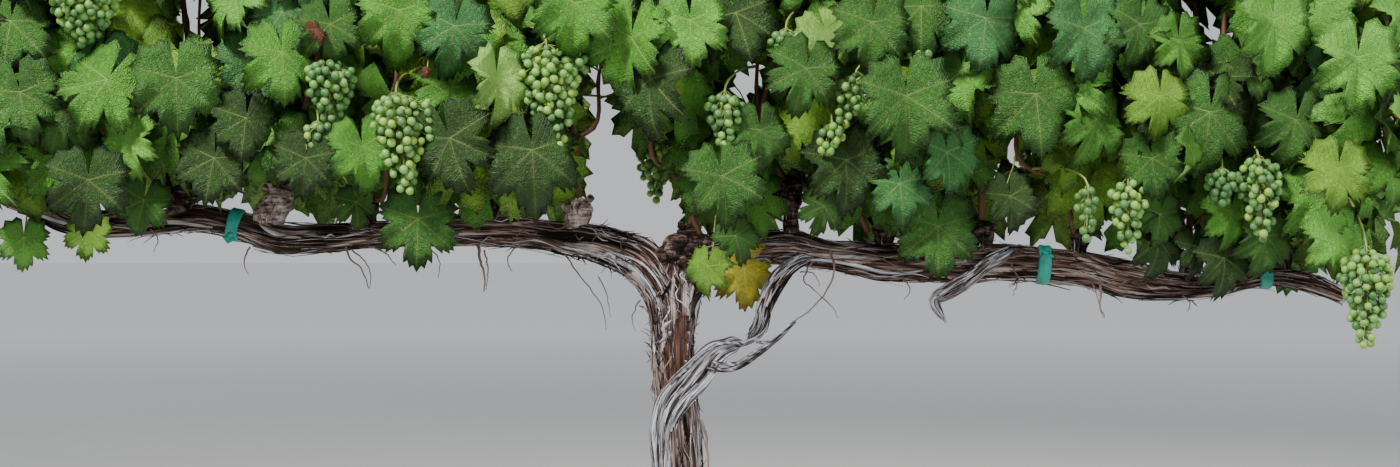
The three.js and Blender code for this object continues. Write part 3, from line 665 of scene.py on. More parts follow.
def add_tube(pile, centres, wide, sides, thick=None, guide=None, finish=0, relief=0.5, lie=None):
    # A closed tube along a line. wide is its radius for each ring or vertex, and thick, for a flat one, its
    # half thickness. guide is the direction of its width. lie gives ready directions across the line.
    count = len(centres)
    first, second = lie or (carried_frame(centres) if guide is None else guided_frame(centres, guide))
    angle = np.arange(sides) * (2 * np.pi / sides)
    wide = for_each_vertex(wide, count, sides)
    thick = wide if thick is None else for_each_vertex(thick, count, sides)
    rings = (
        centres[:, None]
        + (wide * np.cos(angle))[..., None] * first[:, None]
        + (thick * np.sin(angle))[..., None] * second[:, None]
    )
    faces, spots = tube_faces(count, sides)
    girth = 2 * np.pi * float(np.mean(wide))
    along = lengths_along(centres)
    corners = np.stack([spots[..., 1] / sides * girth, along[spots[..., 0].astype(int)]], -1)
    vertices = np.concatenate([rings.reshape(-1, 3), centres[:1], centres[-1:]])
    if np.ndim(relief) == 2:
        relief = np.concatenate([relief.ravel(), relief[0, :1], relief[-1, :1]])
    pile.add(vertices, faces, corners, finish, relief)
    return vertices


# Finishes


class Finish:
    # A material's shader, and short ways to add nodes to it.
    def __init__(self, name, roughness, specular=0.5):
        self.material = bpy.data.materials.new(name)
        self.material.use_nodes = True
        self.tree = self.material.node_tree
        self.shader = self.tree.nodes["Principled BSDF"]
        self.shader.inputs["Roughness"].default_value = roughness
        self.shader.inputs["Specular IOR Level"].default_value = specular

    def node(self, kind, inputs, **settings):
        made = self.tree.nodes.new("ShaderNode" + kind)
        for key, value in settings.items():
            setattr(made, key, value)
        for key, value in inputs.items():
            if isinstance(value, bpy.types.NodeSocket):
                self.tree.links.new(value, made.inputs[key])
            else:
                made.inputs[key].default_value = value
        return made

    def math(self, operation, a, b=0.0):
        return self.node("Math", {0: a, 1: b}, operation=operation).outputs[0]

    def mix(self, share, a, b, blend="MIX"):
        made = self.node("Mix", {0: share, 6: a, 7: b}, data_type="RGBA", blend_type=blend)
        return made.outputs[2]

    def ramp(self, value, stops):
        made = self.node("ValToRGB", {0: value})
        elements = made.color_ramp.elements
        for _ in range(len(stops) - 2):
            elements.new(0.5)
        for element, (position, colour) in zip(elements, stops):
            element.position = position
            element.color = colour
        return made.outputs[0]

    def layer(self, height, grain, middle, share):
        # Adds a grain to a height, so many times as strong, where its middle value adds nothing.
        centred = self.math("SUBTRACT", grain, middle)
        return self.math("ADD", height, self.math("MULTIPLY", centred, share))

    def grey(self, value, low, high):
        # Stretches a value so that low becomes 0 and high becomes 1.
        made = self.node("MapRange", {0: value, 1: low, 2: high})
        return made.outputs[0]

    def where(self, kind, scale):
        # Coordinates, scaled along each axis where a scale is given.
        found = self.node("TexCoord", {}).outputs[kind]
        return self.node("Mapping", {"Vector": found, "Scale": scale}).outputs[0] if scale else found

    def pattern(self, scale):
        # The piece's own pattern coordinates.
        return self.where("UV", scale)

    def place(self, scale=None):
        # The place on the vine.
        return self.where("Object", scale)

    def relief(self):
        # How high the skin stands, from 0 in its grooves to 1 on its ridges.
        return self.node("Attribute", {}, attribute_name="relief").outputs["Fac"]

    def cells(self, where, scale, feature="F1"):
        # The distance to the middle or, with the other feature, to the edge of irregular cells.
        made = self.node("TexVoronoi", {"Vector": where, "Scale": scale}, feature=feature)
        return made.outputs["Distance"]

    def speckle(self, where, scale, detail=3.0):
        made = self.node("TexNoise", {"Vector": where, "Scale": scale, "Detail": detail})
        return made.outputs[0]

    def bump(self, height, strength, distance):
        made = self.node("Bump", {"Height": height, "Strength": strength, "Distance": distance})
        self.tree.links.new(made.outputs[0], self.shader.inputs["Normal"])

    def colour(self, value):
        if isinstance(value, bpy.types.NodeSocket):
            self.tree.links.new(value, self.shader.inputs["Base Color"])
        else:
            self.shader.inputs["Base Color"].default_value = value
        return self.material

    def rough(self, value):
        self.tree.links.new(value, self.shader.inputs["Roughness"])


# Painted shade in the grooves of bark: how dark the deepest grooves are made, and from what height on the
# bark isn't darkened
GROOVE_SHADING = [(0.1, (0.25, 0.25, 0.25, 1)), (0.6, (1, 1, 1, 1))]


def bark_finish(name, stops, red, red_share):
    # Stringy bark with fine fibres and patches of red-brown. Its colour runs from dark in its grooves to
    # pale on its
    # ridges: partly the bark's own tones, partly painted shade in the grooves and painted highlights on the
    # ridges.
    finish = Finish(name, 0.9, 0.25)
    fibres = finish.speckle(finish.pattern((900, 22, 1)), 1.0, 4.0)
    strings = finish.speckle(finish.pattern((330, 11, 1)), 1.0, 3.0)
    height = finish.layer(finish.layer(finish.relief(), fibres, 0.5, 0.95), strings, 0.5, 1.15)
    base = finish.ramp(height, stops)
    patches = finish.grey(finish.speckle(finish.place(), 9.0, 2.0), 1 - red_share, 1 - red_share + 0.14)
    reddened = finish.mix(finish.math("MULTIPLY", patches, 0.75), base, red)
    # Painted shade: the deepest grooves are darkened further
    shading = finish.ramp(height, GROOVE_SHADING)
    finish.bump(height, 0.9, 0.003)
    return finish.colour(finish.mix(1.0, reddened, shading, "MULTIPLY"))


# Bark colours from the grooves to the ridges: the dark low ends are partly painted shade, the pale high ends
# partly painted highlights
BARK_STOPS = [
    (0.24, linear(18, 12, 10)),
    (0.43, linear(56, 41, 37)),
    (0.59, linear(102, 82, 75)),
    (0.76, linear(148, 131, 127)),
    (0.94, linear(200, 193, 192)),
]
DARK_STOPS = [
    (0.26, linear(10, 7, 6)),
    (0.46, linear(42, 26, 19)),
    (0.6, linear(82, 56, 45)),
    (0.74, linear(131, 107, 98)),
    (0.9, linear(186, 172, 165)),
]
DARK_KNOB_STOPS = [
    (0.32, linear(9, 7, 6)),
    (0.52, linear(32, 24, 21)),
    (0.68, linear(66, 50, 43)),
    (0.88, linear(122, 105, 97)),
]
PALE_KNOB_STOPS = [
    (0.24, linear(34, 25, 22)),
    (0.42, linear(122, 101, 92)),
    (0.62, linear(176, 156, 147)),
    (0.86, linear(216, 204, 197)),
]
WEATHERED_STOPS = [
    (0.14, linear(40, 33, 31)),
    (0.34, linear(100, 95, 96)),
    (0.55, linear(164, 162, 168)),
    (0.85, linear(216, 217, 223)),
]
RED_WOOD = linear(134, 70, 42)


def knob_finish(name, stops):
    # Old wood of a head that has been cut year after year: cracked all ways into small plates.
    finish = Finish(name, 0.92, 0.2)
    where = finish.place((1.0, 1.0, 0.4))
    layers = finish.place((0.35, 0.35, 1.6))
    plates = finish.cells(where, 330.0, "DISTANCE_TO_EDGE")
    height = finish.math("MULTIPLY", finish.grey(plates, 0.0, 0.2), 0.12)
    height = finish.math("ADD", height, finish.math("MULTIPLY", finish.relief(), 0.6))
    height = finish.layer(height, finish.speckle(where, 240.0, 5.0), 0.4, 0.45)
    height = finish.layer(height, finish.speckle(layers, 170.0, 4.0), 0.4, 1.3)
    finish.bump(height, 0.8, 0.003)
    return finish.colour(finish.ramp(height, stops))


def bare_wood_finish():
    # Smooth red-brown wood with fine lengthwise grain.
    finish = Finish("bare_wood_finish", 0.75, 0.3)
    grain = finish.speckle(finish.pattern((420, 14, 1)), 1.0, 4.0)
    finish.bump(grain, 0.6, 0.0012)
    stops = [(0.36, linear(40, 25, 20)), (0.52, linear(84, 54, 43)), (0.7, linear(132, 101, 87))]
    return finish.colour(finish.ramp(grain, stops))


def between(first, second, share):
    # A colour that lies a share of the way from the first to the second.
    return tuple(a + (b - a) * share for a, b in zip(first, second))


def leaf_finish(name, colour, side):
    # A leaf's side: a green with darker mottles and sunlit patches, with paler side veins that branch from
    # the ribs, and a net of fine ones between.
    upper = side == "upper"
    finish = Finish(name, 0.56 if upper else 0.7, 0.34 if upper else 0.2)
    parts = finish.node("SeparateXYZ", {0: finish.pattern((1, 1, 1))})
    along, aside = parts.outputs[0], parts.outputs[1]
    branch = finish.math("SUBTRACT", along, finish.math("MULTIPLY", aside, 0.85))
    turns = finish.math("FRACT", finish.math("MULTIPLY", branch, 8.0))
    line = finish.math("ABSOLUTE", finish.math("SUBTRACT", turns, 0.5))
    veins = finish.grey(line, 0.42, 0.5)
    net = finish.cells(finish.pattern((1, 1, 1)), 26.0, "DISTANCE_TO_EDGE")
    net_lines = finish.math("SUBTRACT", 1.0, finish.grey(net, 0.0, 0.16))
    mottle = finish.speckle(finish.place(), 42.0, 3.0)
    paler = finish.mix(0.24, colour, linear(200, 210, 130))
    darker = finish.mix(1.0, colour, (0.58, 0.63, 0.55, 1), "MULTIPLY")
    sunlit = finish.mix(1.0, colour, (1.42, 1.32, 1.35, 1), "MULTIPLY")
    broad = finish.speckle(finish.place(), 17.0, 2.0)
    base = finish.mix(finish.grey(mottle, 0.3, 0.62), darker, colour)
    base = finish.mix(finish.math("MULTIPLY", finish.grey(broad, 0.38, 0.62), 0.9), base, sunlit)
    beside = finish.math("MULTIPLY", finish.grey(aside, 0.06, 0.0), 0.32)
    base = finish.mix(beside, base, paler)
    veined = finish.mix(finish.math("MULTIPLY", veins, 0.5), base, paler)
    netted = finish.mix(finish.math("MULTIPLY", net_lines, 0.16), veined, paler)
    blister = finish.math("SUBTRACT", finish.grey(net, 0.0, 0.3), finish.math("MULTIPLY", veins, 1.6))
    finish.bump(blister, 0.75, 0.0026)
    finish.rough(finish.grey(mottle, 1.7, -0.4) if upper else finish.grey(mottle, 2.4, -0.4))
    return finish.colour(netted)


def stalk_finish(name, colour, other, roughness):
    # Smooth green or red-brown skin with faint lengthwise streaks.
    finish = Finish(name, roughness, 0.4)
    streaks = finish.speckle(finish.pattern((1400, 30, 1)), 1.0, 2.0)
    patches = finish.speckle(finish.place(), 18.0, 2.0)
    share = finish.grey(finish.math("ADD", streaks, patches), 0.75, 1.25)
    finish.bump(streaks, 0.3, 0.0004)
    return finish.colour(finish.mix(share, colour, other))


def grape_finish(name, colour, blush):
    # A firm unripe grape with a soft bloom and a few tiny specks.
    finish = Finish(name, 0.38, 0.5)
    bloom = finish.speckle(finish.place(), 120.0, 3.0)
    tint = finish.speckle(finish.place(), 34.0, 1.0)
    skin = finish.mix(finish.grey(tint, 0.35, 0.65), colour, blush)
    bloom_share = finish.math("MULTIPLY", finish.grey(bloom, 0.4, 0.7), 0.15)
    bloomed = finish.mix(bloom_share, skin, linear(190, 212, 164))
    specks = finish.cells(finish.place(), 420.0)
    specked = finish.mix(finish.grey(specks, 0.16, 0.06), bloomed, linear(120, 110, 70))
    finish.shader.inputs["Subsurface Weight"].default_value = 0.15
    finish.shader.inputs["Subsurface Radius"].default_value = (0.003, 0.004, 0.001)
    finish.rough(finish.grey(bloom, 0.0, 1.2))
    return finish.colour(specked)


def tape_finish():
    # Soft stretched blue-green tape with fine creases across it.
    finish = Finish("tape_finish", 0.42, 0.5)
    creases = finish.speckle(finish.pattern((60, 700, 1)), 1.0, 3.0)
    shade = finish.speckle(finish.place(), 60.0, 2.0)
    finish.bump(creases, 0.5, 0.0008)
    tint = finish.mix(finish.grey(shade, 0.3, 0.7), linear(8, 122, 106), linear(38, 168, 148))
    return finish.colour(tint)


# The floor in metres: half its width, how far it lies below the vine's foot, and the distances between
# which it pales
FLOOR_HALF = 60
FLOOR_DROP = 0.0005
FLOOR_FADE = (3.0, 16.0)


def floor_finish():
    finish = Finish("floor_finish", 0.85, 0.2)
    grain = finish.speckle(finish.place(), 6.0, 4.0)
    near = finish.mix(grain, (0.30, 0.30, 0.295, 1), (0.34, 0.34, 0.335, 1))
    away = finish.node("VectorMath", {0: finish.place()}, operation="LENGTH").outputs["Value"]
    return finish.colour(finish.mix(finish.grey(away, *FLOOR_FADE), near, (0.86, 0.87, 0.88, 1)))


BARK = bark_finish("bark_finish", BARK_STOPS, RED_WOOD, 0.36)
DARK_BARK = bark_finish("dark_bark_finish", DARK_STOPS, RED_WOOD, 0.28)
WEATHERED = bark_finish("weathered_finish", WEATHERED_STOPS, linear(120, 92, 78), 0.28)
DARK_KNOB = knob_finish("dark_knob_finish", DARK_KNOB_STOPS)
PALE_KNOB = knob_finish("pale_knob_finish", PALE_KNOB_STOPS)
WOOD_FINISHES = [BARK, DARK_BARK, WEATHERED, DARK_KNOB, PALE_KNOB, bare_wood_finish()]
BARK_SLOT, DARK_BARK_SLOT, WEATHERED_SLOT, DARK_KNOB_SLOT, PALE_KNOB_SLOT, BARE_WOOD_SLOT = range(6)
LOOSE_BARK_SLOTS = [BARK_SLOT, DARK_BARK_SLOT, WEATHERED_SLOT]
LEAF_FINISHES = [
    leaf_finish(f"leaf_{tone}_{side}", LEAF_TONES[tone][i], side)
    for tone in TONES
    for i, side in enumerate(("upper", "under"))
]
PALE_VEIN = linear(178, 200, 112)
VEIN_FINISHES = [
    stalk_finish(
        f"vein_{tone}_finish", between(LEAF_TONES[tone][0], PALE_VEIN, 0.22),
        between(LEAF_TONES[tone][1], PALE_VEIN, 0.3), 0.55,
    )
    for tone in TONES
]
PETIOLE_GREEN = stalk_finish("petiole_green_finish", linear(128, 150, 72), linear(160, 168, 92), 0.5)
PETIOLE_RED = stalk_finish("petiole_red_finish", linear(150, 98, 66), linear(148, 140, 78), 0.5)
CANE = stalk_finish("cane_finish", linear(122, 82, 54), linear(82, 54, 38), 0.6)
YOUNG_CANE = stalk_finish("young_cane_finish", linear(104, 118, 52), linear(120, 88, 54), 0.55)
DRY_THREAD = stalk_finish("dry_thread_finish", linear(138, 118, 108), linear(86, 68, 60), 0.8)
SHOOT_FINISHES = [CANE, YOUNG_CANE, PETIOLE_GREEN, PETIOLE_RED]
CANE_SLOT, YOUNG_CANE_SLOT, GREEN_STALK_SLOT, RED_STALK_SLOT = range(4)
# The third, dark green is painted shade for grapes that hang in shade
GRAPE_FINISHES = [
    grape_finish("grape_pale_finish", linear(104, 156, 70), linear(126, 172, 80)),
    grape_finish("grape_lime_finish", linear(130, 172, 62), linear(146, 182, 74)),
    grape_finish("grape_shade_finish", linear(62, 112, 52), linear(82, 130, 60)),
]


# The wood


def ridge(value):
    return 1 - np.abs(2 * value - 1)


def bark_relief(rng, turn, along, strips):
    # The height of shaggy bark from about 0 to 1: long strips that overlap, split and wander.
    slow = noise(rng, turn, along, 3, 0.15) - 0.5
    quick = noise(rng, turn, along, 7, 0.05) - 0.5
    grain = turn + (0.2 * slow + 0.07 * quick)
    broad = ridge(noise(rng, grain, along, strips, 0.14))
    strings = ridge(noise(rng, grain, along, 2 * strips + 1, 0.08))
    fibres = noise(rng, grain, along, 4 * strips, 0.04)
    shift = 1.8 * noise(rng, grain, along, strips // 2, 0.09)
    shingle = np.mod(grain * (strips - 3) + shift, 1)
    lumps = noise(rng, turn, along, 5, 0.035)
    cracks = np.clip(1 - 3.5 * ridge(noise(rng, grain, along, strips + 3, 0.11)), 0, 1)
    return 0.3 * broad + 0.24 * strings + 0.2 * fibres + 0.2 * shingle + 0.14 * lumps - 0.4 * cracks


TRUNK_SKIN = {"sides": 112, "strips": 17}
ARM_SKIN = {"sides": 76, "strips": 13}
BARK_DEPTH = 9  # from the deepest groove to the highest ridge
LOOSE_BARK = 2.5  # how far loose strips stand off the skin
RING_STEP = 2.5
GNARL = 5  # how much the wood swells and shrinks under its bark
RIBBON_LOWEST = 0.012  # in metres, so that ribbons stay above the ground
RIBBON_WIDTHS = ([1.3, 2.2, 4.0, 7.0], [0.4, 0.34, 0.18, 0.08])  # and the share of ribbons with each
RIBBON_HALF_THICKNESS = 0.5  # less at a ribbon's ends and more at its middle


def in_bare_wood(height, angle, margin):
    # Whether a place on the trunk's skin lies where its bark has come off, a margin in radians round it.
    share = (height - BARE_WOOD["low"]) / (BARE_WOOD["high"] - BARE_WOOD["low"])
    start, end = BARE_WOOD["turns"]
    aside = np.abs((angle - start - (end - start) * share + np.pi) % (2 * np.pi) - np.pi)
    reach = BARE_WOOD["half_turn"] * np.sqrt(np.clip(1 - (2 * share - 1) ** 2, 0, 1))
    return (share > 0) & (share < 1) & (aside < reach + margin)


def root_flare(height, angle):
    # How much wider the trunk is near its foot.
    lobes = 0.7 + 0.3 * np.cos(ROOT_FLARE["lobes"] * angle + ROOT_FLARE["turn"])
    return MM * ROOT_FLARE["reach"] * lobes * np.exp(-height / ROOT_FLARE["fall"])


def add_limb(pile, limb, sides, strips, seed, finish=BARK_SLOT, is_trunk=False):
    # A limb's skin of bark, closed at its tip. The trunk's flares at its foot, is cut flat at the ground
    # and has a place where the bark has come off.
    rng = np.random.default_rng(seed)
    start = limb.along_at_height(0) if is_trunk else 0
    rings = int((limb.length - start) / (RING_STEP * MM))
    places = np.linspace(start, limb.length, rings)
    along = places[:, None]
    turn = turns_round(sides)
    angle = 2 * np.pi * turn
    relief = bark_relief(rng, turn, along - start, strips)
    gnarl = noise(rng, turn, along - start, 4, 0.05) - 0.5
    radius = limb.radius(places)[:, None]
    depth = BARK_DEPTH * MM * np.clip(radius / (22 * MM), 0.5, 1.15)
    if is_trunk:
        height = limb.at(places)[:, 2:] / MM - CORDON_HEIGHT
        ragged = 0.35 * (noise(rng, turn, along - start, 30, 0.03) - 0.5)
        peeled = in_bare_wood(height, angle, ragged)
        relief = np.where(peeled, 0.25 + 0.2 * relief, relief)
        quads = np.where(peeled[:-1], BARE_WOOD_SLOT, finish).ravel()
        finish = np.concatenate([quads, quads, np.full(2 * sides, finish)])
    wide = radius - LOOSE_BARK * MM + depth * (relief - 0.5) + GNARL * MM * gnarl
    if is_trunk:
        wide = wide + root_flare(np.maximum(limb.at(places)[:, 2:], 0) / MM, angle)
    wide = wide * np.clip((limb.length - along) / (0.6 * radius), 0.05, 1) ** 0.5
    lie = limb.frame(places)
    vertices = add_tube(pile, limb.at(places), wide, sides, lie=lie, finish=finish, relief=relief)
    if is_trunk:
        vertices[:sides, 2] = 0
        vertices[-2, 2] = 0
        np.maximum(vertices[:, 2], 0, out=vertices[:, 2])


def uneven(rng, levels, spread, shape):
    # The relief of a loose strip: one level for all of it, give or take a little at each vertex.
    return np.clip(rng.uniform(*levels) + rng.normal(0, spread, shape), 0, 1)


def add_ribbon(pile, limb, along, angle, length, width, lift, rng, finish):
    # A loose strip of bark along a limb, held at its middle or one end, with its ends peeling off.
    count = max(6, int(length / 9))
    share = np.linspace(0, 1, count)
    lowest = limb.along_at_height(RIBBON_LOWEST) if limb.line[0, 2] < RIBBON_LOWEST else 0
    where = np.clip(along + (share - 0.5) * length * MM, lowest, limb.length)
    hold = rng.uniform(0.15, 0.85)
    peel = np.clip(np.abs(share - hold) / max(hold, 1 - hold), 0, 1) ** 2.4
    wave = 1.5 * np.sin(share * rng.uniform(4, 9) + rng.uniform(0, 6))
    height = (wave * 0.5 + lift * peel) * MM
    drift = rng.normal(0, 0.3) * (share - 0.5)
    drift = drift + 0.14 * np.sin(share * rng.uniform(3, 9) + rng.uniform(0, 6))
    points, out = limb.skin(where, angle + drift, height)
    taper = np.clip(np.sin(np.pi * (0.06 + 0.88 * share)), 0, 1) ** 0.7
    twist = (rng.normal(0, 0.5) * (share - hold))[:, None]
    across = unit(np.cross(headings(points), out)) + twist * out
    wide = width / 2 * MM * taper * rng.uniform(0.85, 1.15, count)
    thick = RIBBON_HALF_THICKNESS * MM * (0.4 + taper)
    relief = uneven(rng, (0.25, 0.95), 0.08, (count, 4))
    add_tube(pile, points, wide, 4, thick=thick, guide=across, finish=finish, relief=relief)


def add_ribbons(pile, limb, sets, seed):
    for count, step, *settings in sets:
        scatter_ribbons(pile, limb, count, np.random.default_rng(seed + step), *settings)


def scatter_ribbons(pile, limb, count, rng, start, end, lengths, lift, tones):
    for _ in range(count):
        along = limb.length * rng.uniform(start, end)
        angle = rng.uniform(0, 2 * np.pi)
        length = rng.uniform(*lengths)
        width = rng.choice(RIBBON_WIDTHS[0], p=RIBBON_WIDTHS[1]) * rng.uniform(0.8, 1.2)
        peeled = lift * rng.uniform(0.1, 1) ** 2
        finish = rng.choice(LOOSE_BARK_SLOTS, p=tones)
        if limb is trunk:
            middle = limb.at(along)[2] / MM - CORDON_HEIGHT
            reached = middle + np.linspace(-0.5, 0.5, 9) * length
            if in_bare_wood(reached, angle, 0.05).any():
                continue
        add_ribbon(pile, limb, along, angle, length, width, peeled, rng, finish)


# Knobs of old wood on the trunk's head: pixel column and row, how far in front, radius.
HEAD_KNOBS = [
    [677, 248, 16, 20],
    [665, 256, 18, 14],
    [690, 252, 18, 15],
    [702, 244, 8, 14],
    [655, 263, 20, 9],
    [684, 262, 26, 10],
    [714, 240, 4, 10],
]


def add_knob(pile, centre, radius, rng):
    # A lump of cracked old wood.
    sides, rings = 26, 15
    down = np.linspace(0.02, 0.98, rings) * np.pi
    turn = turns_round(sides)
    along = (down[:, None] + 0.1) * radius
    relief = 0.6 * noise(rng, turn, along, 6, 0.008) + 0.4 * ridge(noise(rng, turn, along, 12, 0.005))
    wide = radius * np.sin(down)[:, None] * (0.8 + 0.4 * relief)
    line = centre + np.array([0.15, 0, 1.0]) * (-np.cos(down) * radius * 1.05)[:, None]
    add_tube(pile, line, wide, sides, guide=ROW, finish=DARK_KNOB_SLOT, relief=relief)


# Loose ribbons of bark on the trunk, each arm and each spur: how many, what is added to the seed, the
# shares of the limb's length between which they grow, their lengths, how far they may stand off, and their
# shares of common, dark and pale bark. Short ones that stand off far make the shag.
TRUNK_RIBBONS = [
    [260, 1, 0.08, 0.93, (70, 260), 9, (0.45, 0.25, 0.3)],
    [120, 3, 0.08, 0.93, (18, 50), 11, (0.45, 0.25, 0.3)],
    [170, 4, 0.84, 0.99, (12, 38), 13, (0.35, 0.4, 0.25)],
]
ARM_RIBBONS = [
    [250, 1, 0.02, 0.97, (50, 190), 9, (0.34, 0.46, 0.2)],
    [60, 2, 0.0, 0.24, (90, 260), 7, (0.45, 0.25, 0.3)],
    [150, 3, 0.05, 0.97, (16, 46), 11, (0.4, 0.4, 0.2)],
    [90, 4, 0.04, 0.26, (12, 36), 12, (0.35, 0.45, 0.2)],
]
SPUR_RIBBONS = [[16, 0, 0.05, 0.6, (18, 46), 5, (0.45, 0.25, 0.3)]]


def make_trunk():
    pile = Pile()
    add_limb(pile, trunk, **TRUNK_SKIN, seed=SEEDS["trunk"], is_trunk=True)
    add_ribbons(pile, trunk, TRUNK_RIBBONS, SEEDS["trunk"])
    rng = np.random.default_rng(SEEDS["head_knobs"])
    for column, row, front, radius in HEAD_KNOBS:
        add_knob(pile, at_pixel(column, row, front), radius * MM, rng)
    make_piece("trunk_bark", pile, WOOD_FINISHES, ["trunk"])


def make_arm(limb, name):
    pile = Pile()
    add_limb(pile, limb, **ARM_SKIN, seed=SEEDS[name], finish=DARK_BARK_SLOT)
    add_ribbons(pile, limb, ARM_RIBBONS, SEEDS[name])
    make_piece(name + "_bark", pile, WOOD_FINISHES, [name])


def spur_stations(spur, foot, room):
    # The room is the widest that the foot may be without coming out of the arm's front.
    lean, top, neck, head = (spur[key] for key in ("lean", "top", "neck", "head"))
    x, y, z = foot / MM
    low = z - CORDON_HEIGHT
    rise = lambda share: low + (top - head - low) * share
    return [
        [x, y, rise(0), min(neck * 1.35, room)],
        [x + lean * 0.35, y, rise(0.55), neck * 1.05],
        [x + lean * 0.8, y, rise(0.85), head * 0.95],
        [x + lean, y, top - head * 0.8, head],
        [x + lean, y, top, head * 0.6],
    ]


STUBS = 4  # on each spur


def make_spur(i):
    # A knobbly head, cracked and scarred where shoots have been cut year after year.
    spur = SPURS[i]
    arm = arm_left if spur["x"] < 0 else arm_right
    below = arm.along_at_x(spur["x"] * MM)
    foot = arm.at(below)
    if i == TRUNK_SPUR:
        foot = np.array([spur["x"], 4, CORDON_HEIGHT - 40]) * MM
    limb = Limb(spur_stations(spur, foot, SPUR_FOOT_SHARE * float(arm.radius(below)) / MM))
    rng = np.random.default_rng(SEEDS["spurs"] + i)
    sides, rings = 40, 34
    places = np.linspace(0, limb.length, rings)
    along = places[:, None]
    turn = turns_round(sides)
    lumps = noise(rng, turn, along, 5, 0.017)
    knobs = ridge(noise(rng, turn, along, 9, 0.01))
    cracks = noise(rng, turn, along, 20, 0.006)
    relief = np.clip(0.45 * lumps + 0.35 * knobs + 0.3 * cracks, 0, 1)
    wide = limb.radius(places)[:, None] * (0.76 + 0.44 * relief)
    closing = np.clip((limb.length - along) / (0.5 * spur["head"] * MM), 0, 1)
    wide = wide * np.sqrt(np.clip(1 - (1 - closing) ** 2, 0.02, 1))
    pile = Pile()
    finish = PALE_KNOB_SLOT if spur.get("pale") else DARK_KNOB_SLOT
    lie = limb.frame(places)
    add_tube(pile, limb.at(places), wide, sides, lie=lie, finish=finish, relief=relief)
    for _ in range(STUBS):
        add_stub(pile, limb, spur["head"], finish, rng)
    add_ribbons(pile, limb, SPUR_RIBBONS, SEEDS["spur_ribbons"] + i)
    make_piece(f"spur_{i + 1:02d}_bark", pile, WOOD_FINISHES, [f"spur_{i + 1:02d}"])
    return limb.points[-1]


def add_stub(pile, limb, head, finish, rng):
    # The short dead end of a shoot that was cut off a spur.
    along = limb.length * rng.uniform(0.55, 0.92)
    angle = rng.uniform(0, 2 * np.pi)
    start, out = limb.skin(along, np.asarray(angle), np.asarray(-0.5 * head * MM))
    end = start + (out * rng.uniform(0.7, 1.0) + UP * rng.uniform(0.5, 1.0)) * head * MM * 0.8
    line = np.stack([start, (start + end) / 2, end])
    radius = head * 0.26 * MM
    relief = np.clip(rng.normal(0.5, 0.15, (3, 8)), 0, 1)
    add_tube(pile, line, [radius * 1.3, radius, radius * 0.95], 8, finish=finish, relief=relief)


def strap_side(centre):
    # The direction of a strap's width all along its line, in the row's own plane.
    return unit(np.cross(FAR, headings(centre)))


def strap_strand(limb, offset, start, end, lift, rng):
    # The line of one strand of a strap, a share of the strap's half width to one side.
    count = max(8, int(limb.length * (end - start) / 0.006))
    share = np.linspace(start, end, count)
    along = share * limb.length
    centre = limb.at(along)
    aside = strap_side(centre)
    sway = 0.14 * np.sin(share * rng.uniform(8, 16) + rng.uniform(0, 6))
    free = np.clip((np.abs(2 * (share - start) / (end - start) - 1) - 0.75) / 0.25, 0, 1) ** 2
    ripple = 0.0012 * np.sin(share * 23 + 9 * offset)
    line = centre + aside * (limb.radius(along) * (offset + sway))[:, None]
    line = line + NEAR * (lift + ripple + 0.004 * free * rng.random())[:, None]
    return line, aside


STRAP_STRANDS = 26
# The shares of a strap's strands that have common, dark and pale bark
STRAP_TONES = {
    "bark_strap_lower": (0.1, 0.12, 0.78),
    "bark_strap_upper": (0.4, 0.3, 0.3),
    "bark_strap_hanging": (0.4, 0.25, 0.35),
}


def make_strap(name, stations, seed):
    # Old bark weathered to a pale grey: a fibrous core with strands over it, some of which fray.
    limb = Limb(stations)
    rng = np.random.default_rng(seed)
    pile = Pile()
    sides = 40
    rings = int(limb.length / (2.5 * MM))
    along = np.linspace(0, limb.length, rings)
    turn = turns_round(sides)
    strings = ridge(noise(rng, turn, along[:, None], 22, 0.05))
    relief = 0.55 * strings + 0.45 * noise(rng, turn, along[:, None], 31, 0.02)
    centre = limb.at(along)
    aside = strap_side(centre)
    ends = np.clip(np.minimum(along, limb.length - along) / (14 * MM), 0.15, 1)[:, None]
    wide = limb.radius(along)[:, None] * (0.86 + 0.16 * relief) * ends
    thick = STRAP_THICKNESS / 2 * MM * (0.5 + 0.8 * relief) * ends
    relief = relief * 0.8
    add_tube(pile, centre, wide, sides, thick=thick, guide=aside, finish=WEATHERED_SLOT, relief=relief)
    for i in range(STRAP_STRANDS):
        offset = (2 * i + 1) / STRAP_STRANDS - 1 + rng.normal(0, 0.07)
        start = rng.uniform(0.0, 0.3)
        end = rng.uniform(0.7, 1.0)
        line, across = strap_strand(limb, offset, start, end, 0.0032 * rng.uniform(0.4, 1.1), rng)
        count = len(line)
        taper = np.sin(np.pi * np.linspace(0.05, 0.95, count)) ** 0.6
        width = rng.uniform(0.7, 2.0) * MM * taper * rng.uniform(0.8, 1.2, count)
        shade = uneven(rng, (0.25, 1.0), 0.07, (count, 4))
        lean = across + rng.normal(0, 0.3) * FAR
        finish = rng.choice(LOOSE_BARK_SLOTS, p=STRAP_TONES[name])
        add_tube(pile, line, width, 4, thick=0.9 * MM * taper, guide=lean, finish=finish, relief=shade)
    make_piece(name + "_strands", pile, WOOD_FINISHES, [name])


